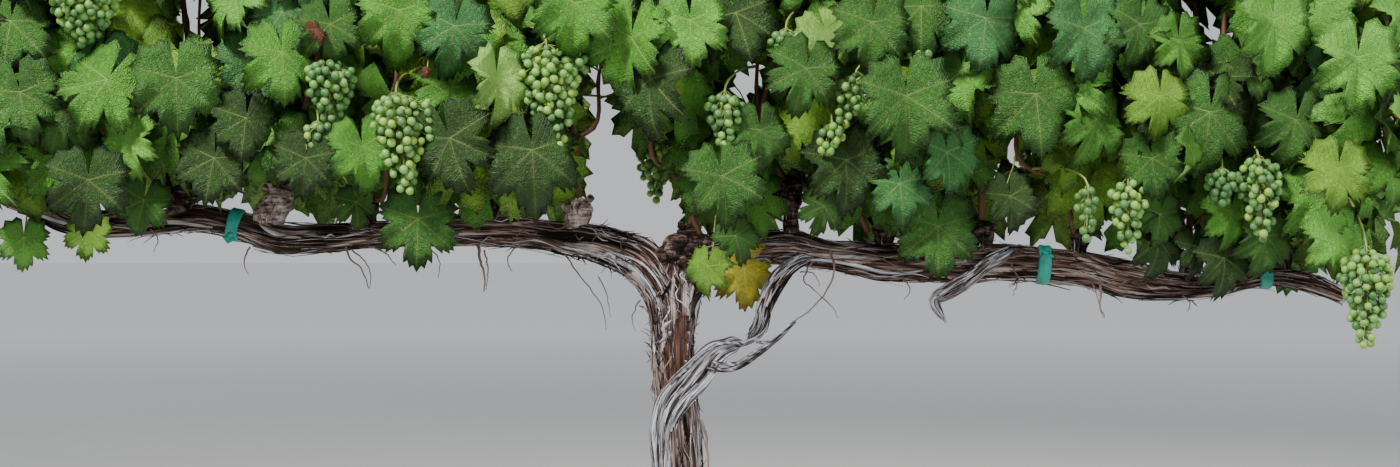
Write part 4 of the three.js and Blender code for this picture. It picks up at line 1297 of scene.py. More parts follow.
# Thin strands that have split off the lower strap: pixel columns and rows, how far in front, half width
SPLIT_STRANDS = [
    [[[706, 368, 44], [726, 370, 48], [740, 366, 50], [766, 348, 50], [796, 322, 46]], 4.6],
    [[[712, 362, 46], [734, 364, 52], [752, 354, 52], [778, 336, 50]], 3.4],
    [[[704, 352, 44], [722, 343, 48], [742, 344, 50], [762, 334, 48], [770, 318, 42]], 4.2],
    [[[756, 342, 42], [772, 342, 46], [786, 331, 46], [796, 320, 44]], 3.6],
    [[[660, 404, 30], [678, 378, 40], [700, 356, 46], [716, 346, 46]], 3.2],
]


def make_loose_threads():
    # Threads of bark and dry tendrils that hang from the arms, and strands split off the strap.
    pile = Pile()
    rng = np.random.default_rng(SEEDS["threads"])
    for path, radius in THREADS:
        line = spaced(pixel_path(path), 14)
        line += rng.normal(0, 0.0006, line.shape)
        add_tube(pile, line, 1.3 * radius * MM * np.linspace(1.1, 0.4, len(line)), 5, finish=0)
    for path, half_width in SPLIT_STRANDS:
        line = spaced(pixel_path(path), 26)
        taper = np.sin(np.pi * np.linspace(0.12, 0.94, len(line))) ** 0.8
        shade = uneven(rng, (0.3, 0.7), 0.14, (len(line), 6))
        add_tube(
            pile, line, half_width * MM * taper, 6, thick=1.2 * MM * taper,
            guide=np.array([0.3, -0.3, 1.0]), finish=1, relief=shade,
        )
    make_piece("loose_bark_threads", pile, [DRY_THREAD, WEATHERED])


def make_ties():
    # Each tie is a band of tape stretched round its arm and knotted, with two short ends.
    for i, (arm, x) in enumerate(TIES):
        limb = arm_left if arm == "left" else arm_right
        rng = np.random.default_rng(SEEDS["ties"] + i)
        pile = Pile()
        middle = limb.along_at_x(x * MM)
        rings, sides = 13, 56
        share = np.linspace(-1, 1, rings)
        along = middle + share * TIE_WIDTH / 2 * MM
        rim = np.sqrt(np.clip(1 - np.abs(share) ** 6, 0, 1))[:, None]
        turn = turns_round(sides)
        creases = noise(rng, turn, (share[:, None] + 1) * 0.009, 9, 0.004)
        radius = limb.radius(along)[:, None] + (1.6 + 1.9 * rim + 1.4 * creases) * MM
        add_tube(pile, limb.at(along), radius, sides, lie=limb.frame(along))
        knot_angle = rng.uniform(-0.9, -0.5)
        knot, out = limb.skin(middle, np.asarray(knot_angle), np.asarray(3.5 * MM))
        add_knot(pile, knot, out, rng)
        make_piece(f"tie_{i + 1}_tape", pile, [TAPE], [f"tie_{i + 1}"])


def add_knot(pile, knot, out, rng):
    # The tape's knot and its two short ends, which hang down.
    lump = np.stack([knot - ROW * 5 * MM, knot + out * 2 * MM, knot + ROW * 5 * MM])
    add_tube(pile, spaced(lump, 7), MM * np.array([1, 3.2, 4, 4.4, 4, 3.2, 1]), 10)
    for side in (-1, 1):
        length = rng.uniform(5, 12)
        end = knot + (-UP * length + ROW * side * rng.uniform(3, 8) + out * 4) * MM
        line = spaced(np.stack([knot, (knot + end) / 2 + out * 2 * MM, end]), 9)
        add_tube(pile, line, MM * np.linspace(2.5, 6.5, 9), 6, thick=0.7 * MM, guide=ROW)


# A leaf in its own plane. Its midrib runs along +v from the junction and is one unit long. Each lobe has a
# tip, and each sinus between lobes has a foot: the angle from the midrib and the distance to the junction.
LOBE_TIPS = [(0, 1.0), (50, 0.92), (106, 0.8)]
SINUSES = [(27, 0.58), (79, 0.56), (180, 0.08)]
LEAF_SPREAD = 1.5  # the leaf's width in units of its midrib
# The grades of leaf: places on the rim for each span from a tip to a sinus, the teeth at these, and for
# each ring inside the rim its places for each span and its share of the way out.
FINE = {"steps": 6, "teeth": [0.04, -0.06, 0.055, -0.06, 0.045, -0.04], "rings": [(1, 0.36), (3, 0.7)]}
PLAIN = {"steps": 3, "teeth": [0.04, -0.05, 0.05], "rings": [(1, 0.55)]}
FINE_OUTLINES = 12
PLAIN_OUTLINES = 6
SPANS = 10
SINUS_DEPTHS = (0.8, 1.25)
RIB_SPANS = (0, 2, -2, 4, -4)  # the ribs run to the lobes' tips, so many spans from the leaf's tip
RIB_DEGREES = [0, 50, -50, 106, -106]


def half_outline(rng, depth, grade):
    # Angles and distances of the outline from the tip round one side to the stalk.
    corners = [LOBE_TIPS[0], SINUSES[0], LOBE_TIPS[1], SINUSES[1], LOBE_TIPS[2], SINUSES[2]]
    steps = grade["steps"]
    angles, smooth, toothed = [], [], []
    for span, (start, end) in enumerate(zip(corners, corners[1:])):
        outward = span % 2 == 0
        tip, foot = (start[1], end[1]) if outward else (end[1], start[1])
        for step in range(steps):
            share = step / steps
            from_tip = share if outward else 1 - share
            reach = tip * (1 - 0.26 * from_tip**1.3) if from_tip < 1 else foot * depth
            tooth = grade["teeth"][step if outward else (steps - step) % steps]
            tooth = 0 if from_tip == 1 else tooth * rng.uniform(0.7, 1.3)
            closing = 5 * share if span == 4 else 0
            angle = start[0] + (end[0] - start[0]) * share + closing
            angles.append(angle + rng.uniform(-0.8, 0.8) * (step > 0))
            smooth.append(reach * rng.uniform(0.97, 1.03))
            toothed.append(smooth[-1] + tooth)
    return angles, smooth, toothed


def ring_faces(inner, inner_count, outer, outer_count):
    # Triangles between two closed rings, given by their first vertex and count, the outer one the finer.
    ratio = outer_count // inner_count
    faces = []
    for i in range(inner_count):
        a, b = inner + i, inner + (i + 1) % inner_count
        rim = [outer + (i * ratio + j) % outer_count for j in range(ratio + 1)]
        half = ratio // 2
        faces += [(a, rim[j], rim[j + 1]) for j in range(half)]
        faces.append((a, rim[half], b))
        faces += [(b, rim[j], rim[j + 1]) for j in range(half, ratio)]
    return faces


def leaf_template(rng, grade):
    # Flat places, triangles and pattern coordinates of a leaf of its own outline, and of its five ribs.
    depth = rng.uniform(*SINUS_DEPTHS)
    sides = [half_outline(rng, depth, grade) for _ in range(2)]
    foot = (180, SINUSES[2][1], SINUSES[2][1])
    whole = [np.array([*sides[0][k], foot[k], *sides[1][k][:0:-1]]) for k in range(3)]
    angles, smooth, toothed = whole
    angles[SPANS * grade["steps"] // 2 + 1 :] *= -1
    reach, turn, rings, first = [np.zeros(1)], [np.zeros(1)], [], 1
    for per_span, share in [*grade["rings"], (grade["steps"], 1)]:
        picked = slice(None, None, grade["steps"] // per_span)
        reach.append(toothed if share == 1 else smooth[picked] * share)
        turn.append(angles[picked])
        rings.append((first, SPANS * per_span))
        first += SPANS * per_span
    reach, turn = np.concatenate(reach), np.concatenate(turn)
    core, rim = rings[0], rings[-1]
    upper = [(0, core[0] + i, core[0] + (i + 1) % core[1]) for i in range(core[1])]
    for inner, outer in zip(rings, rings[1:]):
        upper += ring_faces(*inner, *outer)
    upper = np.array(upper)
    count = len(reach)
    under = np.where(upper >= rim[0], upper, upper + count)[:, ::-1]
    places = np.concatenate([np.arange(count), np.arange(rim[0])])
    rib_angles = np.array(RIB_DEGREES)
    radians = np.radians(turn)
    flat = np.stack([-reach * np.sin(radians), reach * np.cos(radians)], 1)[places]
    faces = np.concatenate([upper, under])
    heart = flat[faces].mean(1)
    heading = np.degrees(np.arctan2(-heart[:, 0], heart[:, 1]))
    miss = (heading[:, None] - rib_angles + 180) % 360 - 180
    rib = rib_angles[np.argmin(np.abs(miss), axis=1)]
    corner_reach = reach[places][faces]
    offset = np.radians(turn[places][faces] - rib[:, None])
    corners = np.stack([corner_reach * np.cos(offset), np.abs(corner_reach * np.sin(offset))], -1)
    rib_places = [
        [0] + [start + spans * total // SPANS % total for start, total in rings] for spans in RIB_SPANS
    ]
    return {
        "flat": flat, "faces": faces, "corners": corners, "lowered": np.arange(len(places)) >= count,
        "is_under": np.arange(len(faces)) >= len(upper), "ribs": np.array(rib_places),
    }


BLADE_THICKNESS = 0.7
HIGHEST_FOLD = 0.26  # the most that a blade stands off its plane, in units of its midrib


def leaf_heights(flat, shape):
    # How far each place of a blade stands off its plane: pleats between its ribs, a fold, drooping edges.
    u, v = flat[:, 0], flat[:, 1]
    reach = np.hypot(u, v)
    angle = np.arctan2(-u, v)
    ribs = np.radians(RIB_DEGREES)
    miss = np.abs((angle[:, None] - ribs + np.pi) % (2 * np.pi) - np.pi).min(1)
    pleat = shape["pleat"] * reach * np.minimum(miss / 0.4, 1)
    fold = shape["fold"] * np.abs(u)
    droop = -shape["droop"] * reach**2
    curl = -shape["curl"] * np.maximum(v, 0) ** 2.5
    wave = shape["wave"] * reach**2 * np.sin(3 * angle + shape["phase"])
    height = pleat + fold + droop + curl + wave
    return np.where(height > 0, HIGHEST_FOLD * np.tanh(height / HIGHEST_FOLD), height)


def add_leaf(leaves, ribs, template, leaf, rng):
    # Lays a leaf's template on its place: its junction, its midrib's direction and the way it faces.
    size = leaf["width"] * MM / LEAF_SPREAD
    shape = {
        "pleat": rng.uniform(0.16, 0.42),
        "fold": rng.normal(-0.06, 0.27),
        "droop": rng.uniform(0.06, 0.42),
        "curl": rng.uniform(0.0, 0.45),
        "wave": rng.uniform(0.05, 0.24),
        "phase": rng.uniform(0, 6.3),
    }
    across = np.cross(leaf["midrib"], leaf["normal"])
    flat = template["flat"]
    height = leaf_heights(flat, shape) * size
    height = height - template["lowered"] * BLADE_THICKNESS * MM
    axes = np.stack([across, leaf["midrib"], leaf["normal"]])
    vertices = np.column_stack([flat * size, height]) @ axes + leaf["junction"]
    tone = TONES.index(leaf["tone"])
    leaves.add(vertices, template["faces"], template["corners"], 2 * tone + template["is_under"])
    if leaf["inner"]:
        return
    for places, degrees in zip(template["ribs"], RIB_DEGREES):
        add_rib(ribs, vertices[places], math.radians(degrees), axes, leaf["width"], tone)


RIB_TAPER = np.array([1.0, 0.8, 0.55, 0.12])
RIB_HALF_WIDTH = 0.004  # as a share of the leaf's width
RIB_FACES, RIB_SPOTS = (part[: 2 * 3 * 3] for part in tube_faces(4, 3))  # without the ends


def add_rib(ribs, line, angle, axes, width, tone):
    # A rib: a three-sided needle, flat on the blade's upper side and raised below it.
    line = line.copy()
    line[-1] = line[-2] + (line[-1] - line[-2]) * 0.86
    aside = np.array([math.cos(angle), math.sin(angle), 0]) @ axes
    normal = axes[2]
    wide = (RIB_TAPER * RIB_HALF_WIDTH * width * MM)[:, None]
    lift = 0.35 * MM
    right = line + aside * wide + normal * lift
    left = line - aside * wide + normal * lift
    keel = line - normal * (wide * 1.2 + BLADE_THICKNESS * MM * 0.8)
    rings = np.stack([right, left, keel], axis=1)
    corners = np.stack([RIB_SPOTS[..., 1] * 0.001, RIB_SPOTS[..., 0] * 0.01], -1)
    ribs.add(rings.reshape(-1, 3), RIB_FACES, corners, tone)


def add_petiole(pile, leaf, rng):
    root, junction = leaf["root"], leaf["junction"]
    span = np.linalg.norm(junction - root)
    middle = (root + junction) / 2 + UP * span * rng.uniform(0.05, 0.16)
    arrive = junction - leaf["midrib"] * 0.012 - leaf["normal"] * 0.006
    line = spaced(np.stack([root, middle, arrive, junction]), 6)
    finish = int(rng.choice([GREEN_STALK_SLOT, RED_STALK_SLOT], p=[0.6, 0.4]))
    add_tube(pile, line, MM * np.linspace(1.5, 1.15, 6), 3, finish=finish)


# The rule by which the foliage grows, as for the solids but finer

NODE_SPACING = 34
COLUMN_SPACING = 74
LEAF_SPACING = 43
BLADE_MIDDLE = 0.22  # from the junction to a blade's middle, as a share of its width
BLADE_HALF = 0.36  # half of a blade's reach, as a share of its width
INNER_SHARE = 0.5  # leaves nearer to the row's middle than this share of the crown's depth are plain ones
LEAF_WIDTH = 118
LEAF_TRIES = 14
TIER_OVERLAP = 80
END_REACH = (180, 70)  # leaves turn outwards between these distances from the crown's ends
EDGE_ROOM = 22  # between the crown's ends and top and the lobes of leaves, which curl
SIDE_ROOM = 8  # the same at the crown's sides
WOOD_ROOM = 12  # between leaves and the trunk and arms
PETIOLE_RANGE = (35, 130)
SHOOT_SWAY = (14, 74)
STEM_SWAY = 12
STEM_RADIUS = 4.8
SHOOT_RADIUS = 3.9
SHOOT_TAPER = 0.45
SHOWN_CANE_RADII = (4.0, 3.0)
SWELLINGS = {"apart": 62, "length": 5, "share": 0.28}  # the nodes of a shoot
TENDRILS = 4  # in each mass


def crown_depth(rise):
    half = np.where(rise > CROWN_BELLY["rise"], CROWN_BELLY["above"], CROWN_BELLY["below"])
    offset = (rise - CROWN_BELLY["rise"]) / half
    return CROWN_HALF_DEPTH * np.sqrt(np.maximum(0, 1 - offset**2))


class Mass:
    # One mass of foliage: its space, its shoots and their nodes, its leaves and its bunches.
    def __init__(self, index, tip):
        self.upper = index % 2 == 1
        self.tip = tip / MM
        edges = UPPER_EDGES if self.upper else LOWER_EDGES
        self.number = index // 2 + 1
        self.edges = edges[index // 2 : index // 2 + 2]
        self.ends = (edges[0], edges[-1])
        self.name = f"foliage_{'upper' if self.upper else 'lower'}_{self.number}"
        self.rng = np.random.default_rng(SEEDS["masses"] + 77 * index)
        self.nodes, self.shoots, self.leaves = [], [], []
        self.bunches = []

    def reach(self, y):
        return [edge if edge in self.ends else edge + ROW_SLANT * y for edge in self.edges]

    def holds(self, points, overlap=0):
        # Which points, in millimetres, lie in this mass's own space, or past its tier by the overlap.
        x, y, z = np.moveaxis(points, -1, 0)
        low_x, high_x = self.reach(y)
        rise = z - CORDON_HEIGHT
        split = TIER_RISE + TIER_SLANT * y
        low, high = (split - overlap, CROWN_RISE) if self.upper else (-CROWN_DROP, split + overlap)
        across = (x > low_x) & (x < high_x) & (np.abs(y) < crown_depth(rise))
        return across & (rise > low) & (rise < high)


def stem_points(mass):
    # The stem from a spur's head to where its shoots part, in millimetres.
    tip = mass.tip
    if not mass.upper:
        return np.array([tip + step for step in ([0, 0, -6], [2, 0, 30], [-3, 4, 66])])
    column = np.clip(tip[0], mass.edges[0] + 60, mass.edges[1] - 60)
    return np.array(
        [
            tip + [0, 0, -6],
            [tip[0], 0, tip[2] + 60],
            [tip[0] + (column - tip[0]) * 0.6, 0, CORDON_HEIGHT + TIER_RISE * 0.6],
            [column, 0, CORDON_HEIGHT + TIER_RISE + 20],
        ]
    )


def grow_shoots(mass, index):
    # Shoots fan out from the stem to even columns and climb, leaning to the near and far side by turns.
    rng = mass.rng
    stem = stem_points(mass)
    winding = spaced(stem, 7) if mass.upper else stem.copy()
    winding[1:-1] += rng.uniform(-STEM_SWAY, STEM_SWAY, winding[1:-1].shape) * [1, 1, 0]
    mass.shoots.append((winding, STEM_RADIUS, SHOOT_RADIUS, CANE_SLOT))
    fork = stem[-1] - [0, 0, 8]
    start, end = mass.edges
    columns = round((end - start) / COLUMN_SPACING)
    for column in range(columns):
        x = start + (column + 0.5) * (end - start) / columns
        crown = CROWN_RISE - 24 - 150 * abs(x / CROWN_REACH) ** 4 - rng.uniform(0, 70)
        top = CORDON_HEIGHT + (crown if mass.upper else TIER_RISE - rng.uniform(30, 66))
        lean = (1 if (column + index) % 2 else -1) * rng.uniform(*SHOOT_SWAY)
        points = [fork]
        for share in (0.12, 0.4, 0.7, 1):
            here_x = x + rng.uniform(-14, 14)
            here_y = lean * (1 - 0.5 * share) + rng.uniform(-12, 12)
            points.append([here_x, here_y, fork[2] + (top - fork[2]) * share])
        points = np.array(points)
        finish = YOUNG_CANE_SLOT if mass.upper else CANE_SLOT
        mass.shoots.append((points, SHOOT_RADIUS, SHOOT_RADIUS * SHOOT_TAPER, finish))
        line = spaced(points, 60)
        length = lengths_along(line)[-1]
        count = int(length / NODE_SPACING)
        tone = rng.choice(len(TONES), p=TONE_SHARES)
        for i in range(1, count + 1):
            share = (i - 0.25) / count
            root = line[min(int(share * 59), 59)]
            scale = 1 - 0.35 * share**3 if mass.upper else 1 - 0.12 * share
            mass.nodes.append((root, scale, tone))


def leaf_candidates(mass):
    # Many places for a leaf at each node, on both sides of the row, as arrays in millimetres.
    rng = mass.rng
    roots = np.repeat([node[0] for node in mass.nodes], 2 * LEAF_TRIES, axis=0)
    scales = np.repeat([node[1] for node in mass.nodes], 2 * LEAF_TRIES)
    tones = np.repeat([node[2] for node in mass.nodes], 2 * LEAF_TRIES)
    total = len(roots)
    side = np.where(np.arange(total) % 2, 1.0, -1.0)
    rise = roots[:, 2] - CORDON_HEIGHT
    flat = ease((rise - 500) / 400)
    outward = np.sign(roots[:, 0])
    room = np.where(outward > 0, LOWER_EDGES[-1] - roots[:, 0], roots[:, 0] - LOWER_EDGES[0])
    ending = ease((END_REACH[0] - room) / (END_REACH[0] - END_REACH[1]))
    share = rng.uniform(0.12, 0.9, total)
    share = share - 0.12 * np.maximum(flat, ending) * (0.9 - share) / 0.78
    depth = side * crown_depth(rise) * share**0.8
    ending = ending * (1 - share)
    junction = np.stack(
        [
            roots[:, 0] + rng.uniform(-90, 90, total),
            depth,
            roots[:, 2] + rng.uniform(-1, 1, total) * (65 - 20 * flat) + 20 - 20 * flat,
        ],
        axis=1,
    )
    turn = rng.uniform(-0.55, 0.55, total) + (junction[:, 0] - roots[:, 0]) / 200
    tilt = rng.uniform(0.0, 0.55, total)
    facing = rng.uniform(-0.6, 0.6, total)
    turn = turn + 2.2 * flat * facing
    aside = side * (1 - 0.5 * flat) * (1 - 0.8 * ending)
    sideways = turn + 0.4 * outward * ending
    midrib = unit(np.stack([sideways, side * (tilt + 0.9 * flat), -1 + 0.5 * flat], axis=1))
    sideways = turn * 0.5 + facing + 2.2 * outward * ending
    normal = np.stack([sideways, aside, rng.uniform(0.1, 0.75, total) + flat], axis=1)
    normal = square_to(midrib, normal)
    width = LEAF_WIDTH * scales * rng.uniform(0.72, 1.12, total)
    return {
        "root": roots,
        "junction": junction,
        "midrib": midrib,
        "normal": normal,
        "width": width,
        "tone": tones,
    }


def in_crown(points):
    # Which points, in millimetres, lie inside the whole crown.
    x, y, z = np.moveaxis(points, -1, 0)
    rise = z - CORDON_HEIGHT
    inside = np.abs(y) < crown_depth(rise) - SIDE_ROOM
    inside &= (rise > -CROWN_DROP) & (rise < CROWN_RISE - EDGE_ROOM)
    return inside & (x > LOWER_EDGES[0] + EDGE_ROOM) & (x < LOWER_EDGES[-1] - EDGE_ROOM)


def blade_middle(found):
    return found["junction"] + found["midrib"] * found["width"][:, None] * BLADE_MIDDLE


def off_box(column, row, left, right, top, low):
    # How many pixels each place lies off a box of the picture.
    aside = np.maximum(np.maximum(left - column, column - right), 0)
    above = np.maximum(np.maximum(top - row, row - low), 0)
    return np.hypot(aside, above)


def covered(found):
    # Which candidates would hide a shown leaf or a near bunch, or close a gap in the foliage.
    middle = blade_middle(found) * MM
    column, row, scale = to_pixels(middle)
    half = BLADE_HALF * found["width"] * MM * scale
    bad = np.zeros(len(column), bool)
    for *box, room in GAPS:
        bad |= off_box(column, row, *box) < half * room
    front = -middle[:, 1] / MM
    for shown_column, shown_row, width, _, _, shown_front, _ in SHOWN_LEAVES:
        near = front > shown_front - 22
        radius = 0.40 * width / PIXEL
        distance = np.hypot(column - shown_column, row - (shown_row + 0.2 * width / PIXEL))
        bad |= near & (distance < radius + half * 0.35)
    for middle_column, top, length, width, *_ in NEAR_BUNCHES:
        wing = width / 2 / PIXEL
        box = (middle_column - wing, middle_column + wing, top, top + length / PIXEL)
        bad |= (front > NEAR_BUNCH_DEPTH - 60) & (off_box(column, row, *box) < half * 0.7)
    for box in BARE_PLACES:
        bad |= (front > 0) & (off_box(column, row, *box) < half * 0.8)
    return bad


def outline_points(found):
    # The junction, tip and side lobes of each candidate.
    across = np.cross(found["midrib"], found["normal"])
    width = found["width"][:, None]
    tip = found["junction"] + found["midrib"] * width * 0.66
    sides = [found["junction"] + found["midrib"] * width * 0.3 + across * width * s for s in (-0.48, 0.48)]
    basal = [found["junction"] - found["midrib"] * width * 0.2 + across * width * s for s in (-0.36, 0.36)]
    return np.stack([found["junction"], tip, *sides, *basal], axis=1)


placed = []  # the middles of all blades so far, in millimetres


def grow_leaves(mass):
    # Takes again and again the place furthest from all leaves so far, until they are close enough.
    found = leaf_candidates(mass)
    length = np.linalg.norm(found["junction"] - found["root"], axis=1)
    good = (length > PETIOLE_RANGE[0]) & (length < PETIOLE_RANGE[1])
    good &= mass.holds(blade_middle(found), TIER_OVERLAP) & in_crown(outline_points(found)).all(axis=1)
    good &= ~covered(found) & clear_of_wood(found)
    found = {key: value[good] for key, value in found.items()}
    middle = blade_middle(found)
    room = np.full(len(middle), 1e9)
    for other in placed:
        room = np.minimum(room, np.linalg.norm(middle - other, axis=1))
    rng = mass.rng
    inner = np.abs(middle[:, 1]) < INNER_SHARE * crown_depth(middle[:, 2] - CORDON_HEIGHT)
    while len(room) and room.max() > LEAF_SPACING:
        best = int(np.argmax(room))
        placed.append(middle[best])
        room = np.minimum(room, np.linalg.norm(middle - middle[best], axis=1))
        tone = found["tone"][best] if rng.random() < 0.45 else rng.choice(len(TONES), p=TONE_SHARES)
        mass.leaves.append(
            {
                "root": found["root"][best] * MM,
                "junction": found["junction"][best] * MM,
                "midrib": found["midrib"][best],
                "normal": found["normal"][best],
                "width": found["width"][best],
                "tone": LIGHTER_TONE.get(TONES[tone], TONES[tone]) if inner[best] else TONES[tone],
                "inner": inner[best],
            }
        )


def clear_of_wood(found):
    # Leaves hang beside the arms, not through them.
    points = outline_points(found)
    clear = np.ones(len(points), bool)
    for limb in (arm_left, arm_right, trunk):
        line = limb.line[::6] / MM
        radius = limb.radius(limb.along[::6]) / MM
        for k in range(points.shape[1]):
            gap = np.linalg.norm(points[:, k, None] - line, axis=2) - radius
            clear &= gap.min(axis=1) > WOOD_ROOM
    return clear


def shown_leaf(row, rng):
    column, line, width, roll, turn, front, tone = row
    junction = at_pixel(column, line, front)
    roll, turn = math.radians(roll), math.radians(turn)
    midrib = unit(np.array([math.sin(roll), -0.12, -math.cos(roll)]))
    normal = np.array([math.sin(turn) + rng.normal(0, 0.12), -math.cos(turn), rng.uniform(0.12, 0.6)])
    return {
        "junction": junction,
        "midrib": midrib,
        "normal": square_to(midrib, normal),
        "width": width,
        "tone": tone,
        "inner": False,
    }


def nearest_node(mass, point, above):
    roots = np.array([node[0] for node in mass.nodes])
    gap = np.linalg.norm(roots - point, axis=1) + 1e4 * (roots[:, 2] < point[2] + above)
    return roots[int(np.argmin(gap))]


def mass_at(masses, point):
    # The mass whose space holds a point, in millimetres, or else the nearest lower one.
    for mass in masses:
        if mass.holds(point):
            return mass
    lower = [mass for mass in masses if not mass.upper]
    return min(lower, key=lambda mass: max(mass.edges[0] - point[0], point[0] - mass.edges[1]))


def grow_foliage(tips):
    # Shoots first, then the leaves and bunches that have places of their own, then all others by rule.
    masses = [Mass(i, tip) for i, tip in enumerate(tips)]
    for i, mass in enumerate(masses):
        grow_shoots(mass, i)
    rng = np.random.default_rng(SEEDS["shown_leaves"])
    for row in SHOWN_LEAVES:
        leaf = shown_leaf(row, rng)
        mass = mass_at(masses, leaf["junction"] / MM)
        leaf["root"] = nearest_node(mass, leaf["junction"] / MM, -20) * MM
        mass.leaves.append(leaf)
        placed.append((leaf["junction"] + leaf["midrib"] * leaf["width"] * MM * BLADE_MIDDLE) / MM)
    for column, row, length, width, shoulder, lean, dark in NEAR_BUNCHES:
        top = at_pixel(column, row, NEAR_BUNCH_DEPTH)
        mass_at(masses, top / MM).bunches.append((top, length, width, shoulder, lean, dark))
    for x, rise, length, width in FAR_BUNCHES:
        top = np.array([x, FAR_BUNCH_DEPTH, CORDON_HEIGHT + rise]) * MM
        mass_at(masses, top / MM).bunches.append((top, length, width, 0.15, 0.0, FAR_SHADE_SHARE))
    for mass in masses:
        grow_leaves(mass)
    return masses


# Grapes


def berry_shape():
    # A round berry of 80 triangles.
    golden = (1 + 5**0.5) / 2
    base = []
    for a in (-1, 1):
        for b in (-golden, golden):
            base += [(0, a, b), (a, b, 0), (b, 0, a)]
    base = unit(np.array(base))
    gap = np.linalg.norm(base[:, None] - base, axis=2)
    close = (gap > 0) & (gap < 1.06)
    faces = []
    for i in range(12):
        for j in range(i + 1, 12):
            for k in range(j + 1, 12):
                if close[i, j] and close[j, k] and close[i, k]:
                    outward = np.cross(base[j] - base[i], base[k] - base[i]) @ base[i] > 0
                    faces.append((i, j, k) if outward else (i, k, j))
    points, middles, fine = list(base), {}, []

    def middle(a, b):
        key = (min(a, b), max(a, b))
        if key not in middles:
            middles[key] = len(points)
            points.append(unit(points[a] + points[b]))
        return middles[key]

    for a, b, c in faces:
        ab, bc, ca = middle(a, b), middle(b, c), middle(c, a)
        fine += [(a, ab, ca), (b, bc, ab), (c, ca, bc), (ab, bc, ca)]
    return np.array(points), np.array(fine)


BERRY_POINTS, BERRY_FACES = berry_shape()
BERRY_CORNERS = BERRY_POINTS[BERRY_FACES][..., :2] * 0.01
BERRY_TRIES = 2600
BERRY_CONTACT = 1.84  # the least distance between the middles of two berries, in radii of a berry
BUNCH_PROFILE = ([0, 0.08, 0.25, 0.5, 0.75, 1.0], [0.35, 0.8, 1.0, 0.78, 0.5, 0.16])


def berry_places(rng, length, width):
    # Berries packed round the stalk of a bunch, wide at its shoulders and narrow at its tip.
    share = rng.random(BERRY_TRIES)
    angle = rng.uniform(0, 2 * np.pi, BERRY_TRIES)
    limit = np.interp(share, *BUNCH_PROFILE) * (width / 2 - BERRY_RADIUS * 0.6)
    out = limit * np.sqrt(rng.uniform(0.22, 1, BERRY_TRIES))
    tries = np.stack([out * np.cos(angle), out * np.sin(angle), -share * (length - BERRY_RADIUS)], 1)
    kept = np.empty((0, 3))
    apart = (BERRY_CONTACT * BERRY_RADIUS) ** 2
    for place in tries:
        if len(kept) == 0 or np.min(np.sum((kept - place) ** 2, axis=1)) > apart:
            kept = np.vstack([kept, place])
    return kept


def add_bunch(grapes, stalks, mass, bunch):
    top, length, width, shoulder, lean, dark = bunch
    rng = mass.rng
    # The dark share of the grapes takes the painted shade green
    tones = [0.72 * (1 - dark), 0.28 * (1 - dark), dark]
    places = berry_places(rng, length, width)
    if shoulder:
        wing = berry_places(rng, length * 0.42, width * 0.55)
        wing = wing + [width * shoulder * 1.5, 0, -length * 0.04]
        apart = np.min(np.linalg.norm(wing[:, None] - places, axis=2), axis=1)
        places = np.vstack([places, wing[apart > BERRY_CONTACT * BERRY_RADIUS]])
    for place in places:
        centre = top + (place + [-lean * place[2], 0, -BERRY_RADIUS]) * MM
        radius = BERRY_RADIUS * MM * rng.uniform(0.86, 1.06)
        shape = BERRY_POINTS * [1, 1, rng.uniform(1.0, 1.08)] * radius + centre
        grapes.add(shape, BERRY_FACES, BERRY_CORNERS, int(rng.choice([0, 1, 2], p=tones)))
        hub = top + np.array([-lean * place[2], 0, place[2] * 0.8 + 5]) * MM
        twig = np.stack([hub, (hub + centre) / 2 + [0, 0, 0.002], centre])
        add_tube(stalks, twig, MM * 0.55, 3, finish=GREEN_STALK_SLOT)
    root = nearest_node(mass, top / MM, 12) * MM
    bend = root + (top - root) * 0.6 + np.array([0, 0, 0.014])
    below = top + np.array([lean, 0, -1]) * length * 0.8 * MM
    stalk = spaced(np.stack([root, bend, top + [0, 0, 0.006], (top + below) / 2, below]), 16)
    add_tube(stalks, stalk, MM * np.linspace(2.2, 1.0, 16), 6, finish=GREEN_STALK_SLOT)


# Shoots, tendrils and the pieces of each mass


def add_shoot(pile, points, start, end, finish):
    # A shoot with swollen nodes at even steps.
    line = spaced(points, max(8, int(lengths_along(points)[-1] / 0.012)))
    along = lengths_along(line)
    aside = along / MM % SWELLINGS["apart"] - SWELLINGS["apart"] / 2
    swell = 1 + SWELLINGS["share"] * np.exp(-((aside / SWELLINGS["length"]) ** 2))
    radius = MM * np.linspace(start, end, len(line)) * swell
    add_tube(pile, line, radius, 7, finish=finish)


def add_tendril(pile, root, rng):
    # A thin climber that coils towards its end.
    count = 22
    share = np.linspace(0, 1, count)
    heading = unit(rng.normal(0, 1, 3) * [1, 0.7, 0.6])
    third = unit(np.cross(heading, UP))
    length = rng.uniform(0.05, 0.11)
    coil = 0.008 * share**2
    turns = share**2 * rng.uniform(9, 17)
    line = root + heading * (share * length)[:, None]
    line = line + third * (coil * np.sin(turns))[:, None] + UP * (coil * np.cos(turns))[:, None]
    add_tube(pile, line, MM * np.linspace(0.9, 0.35, count), 3, finish=GREEN_STALK_SLOT)


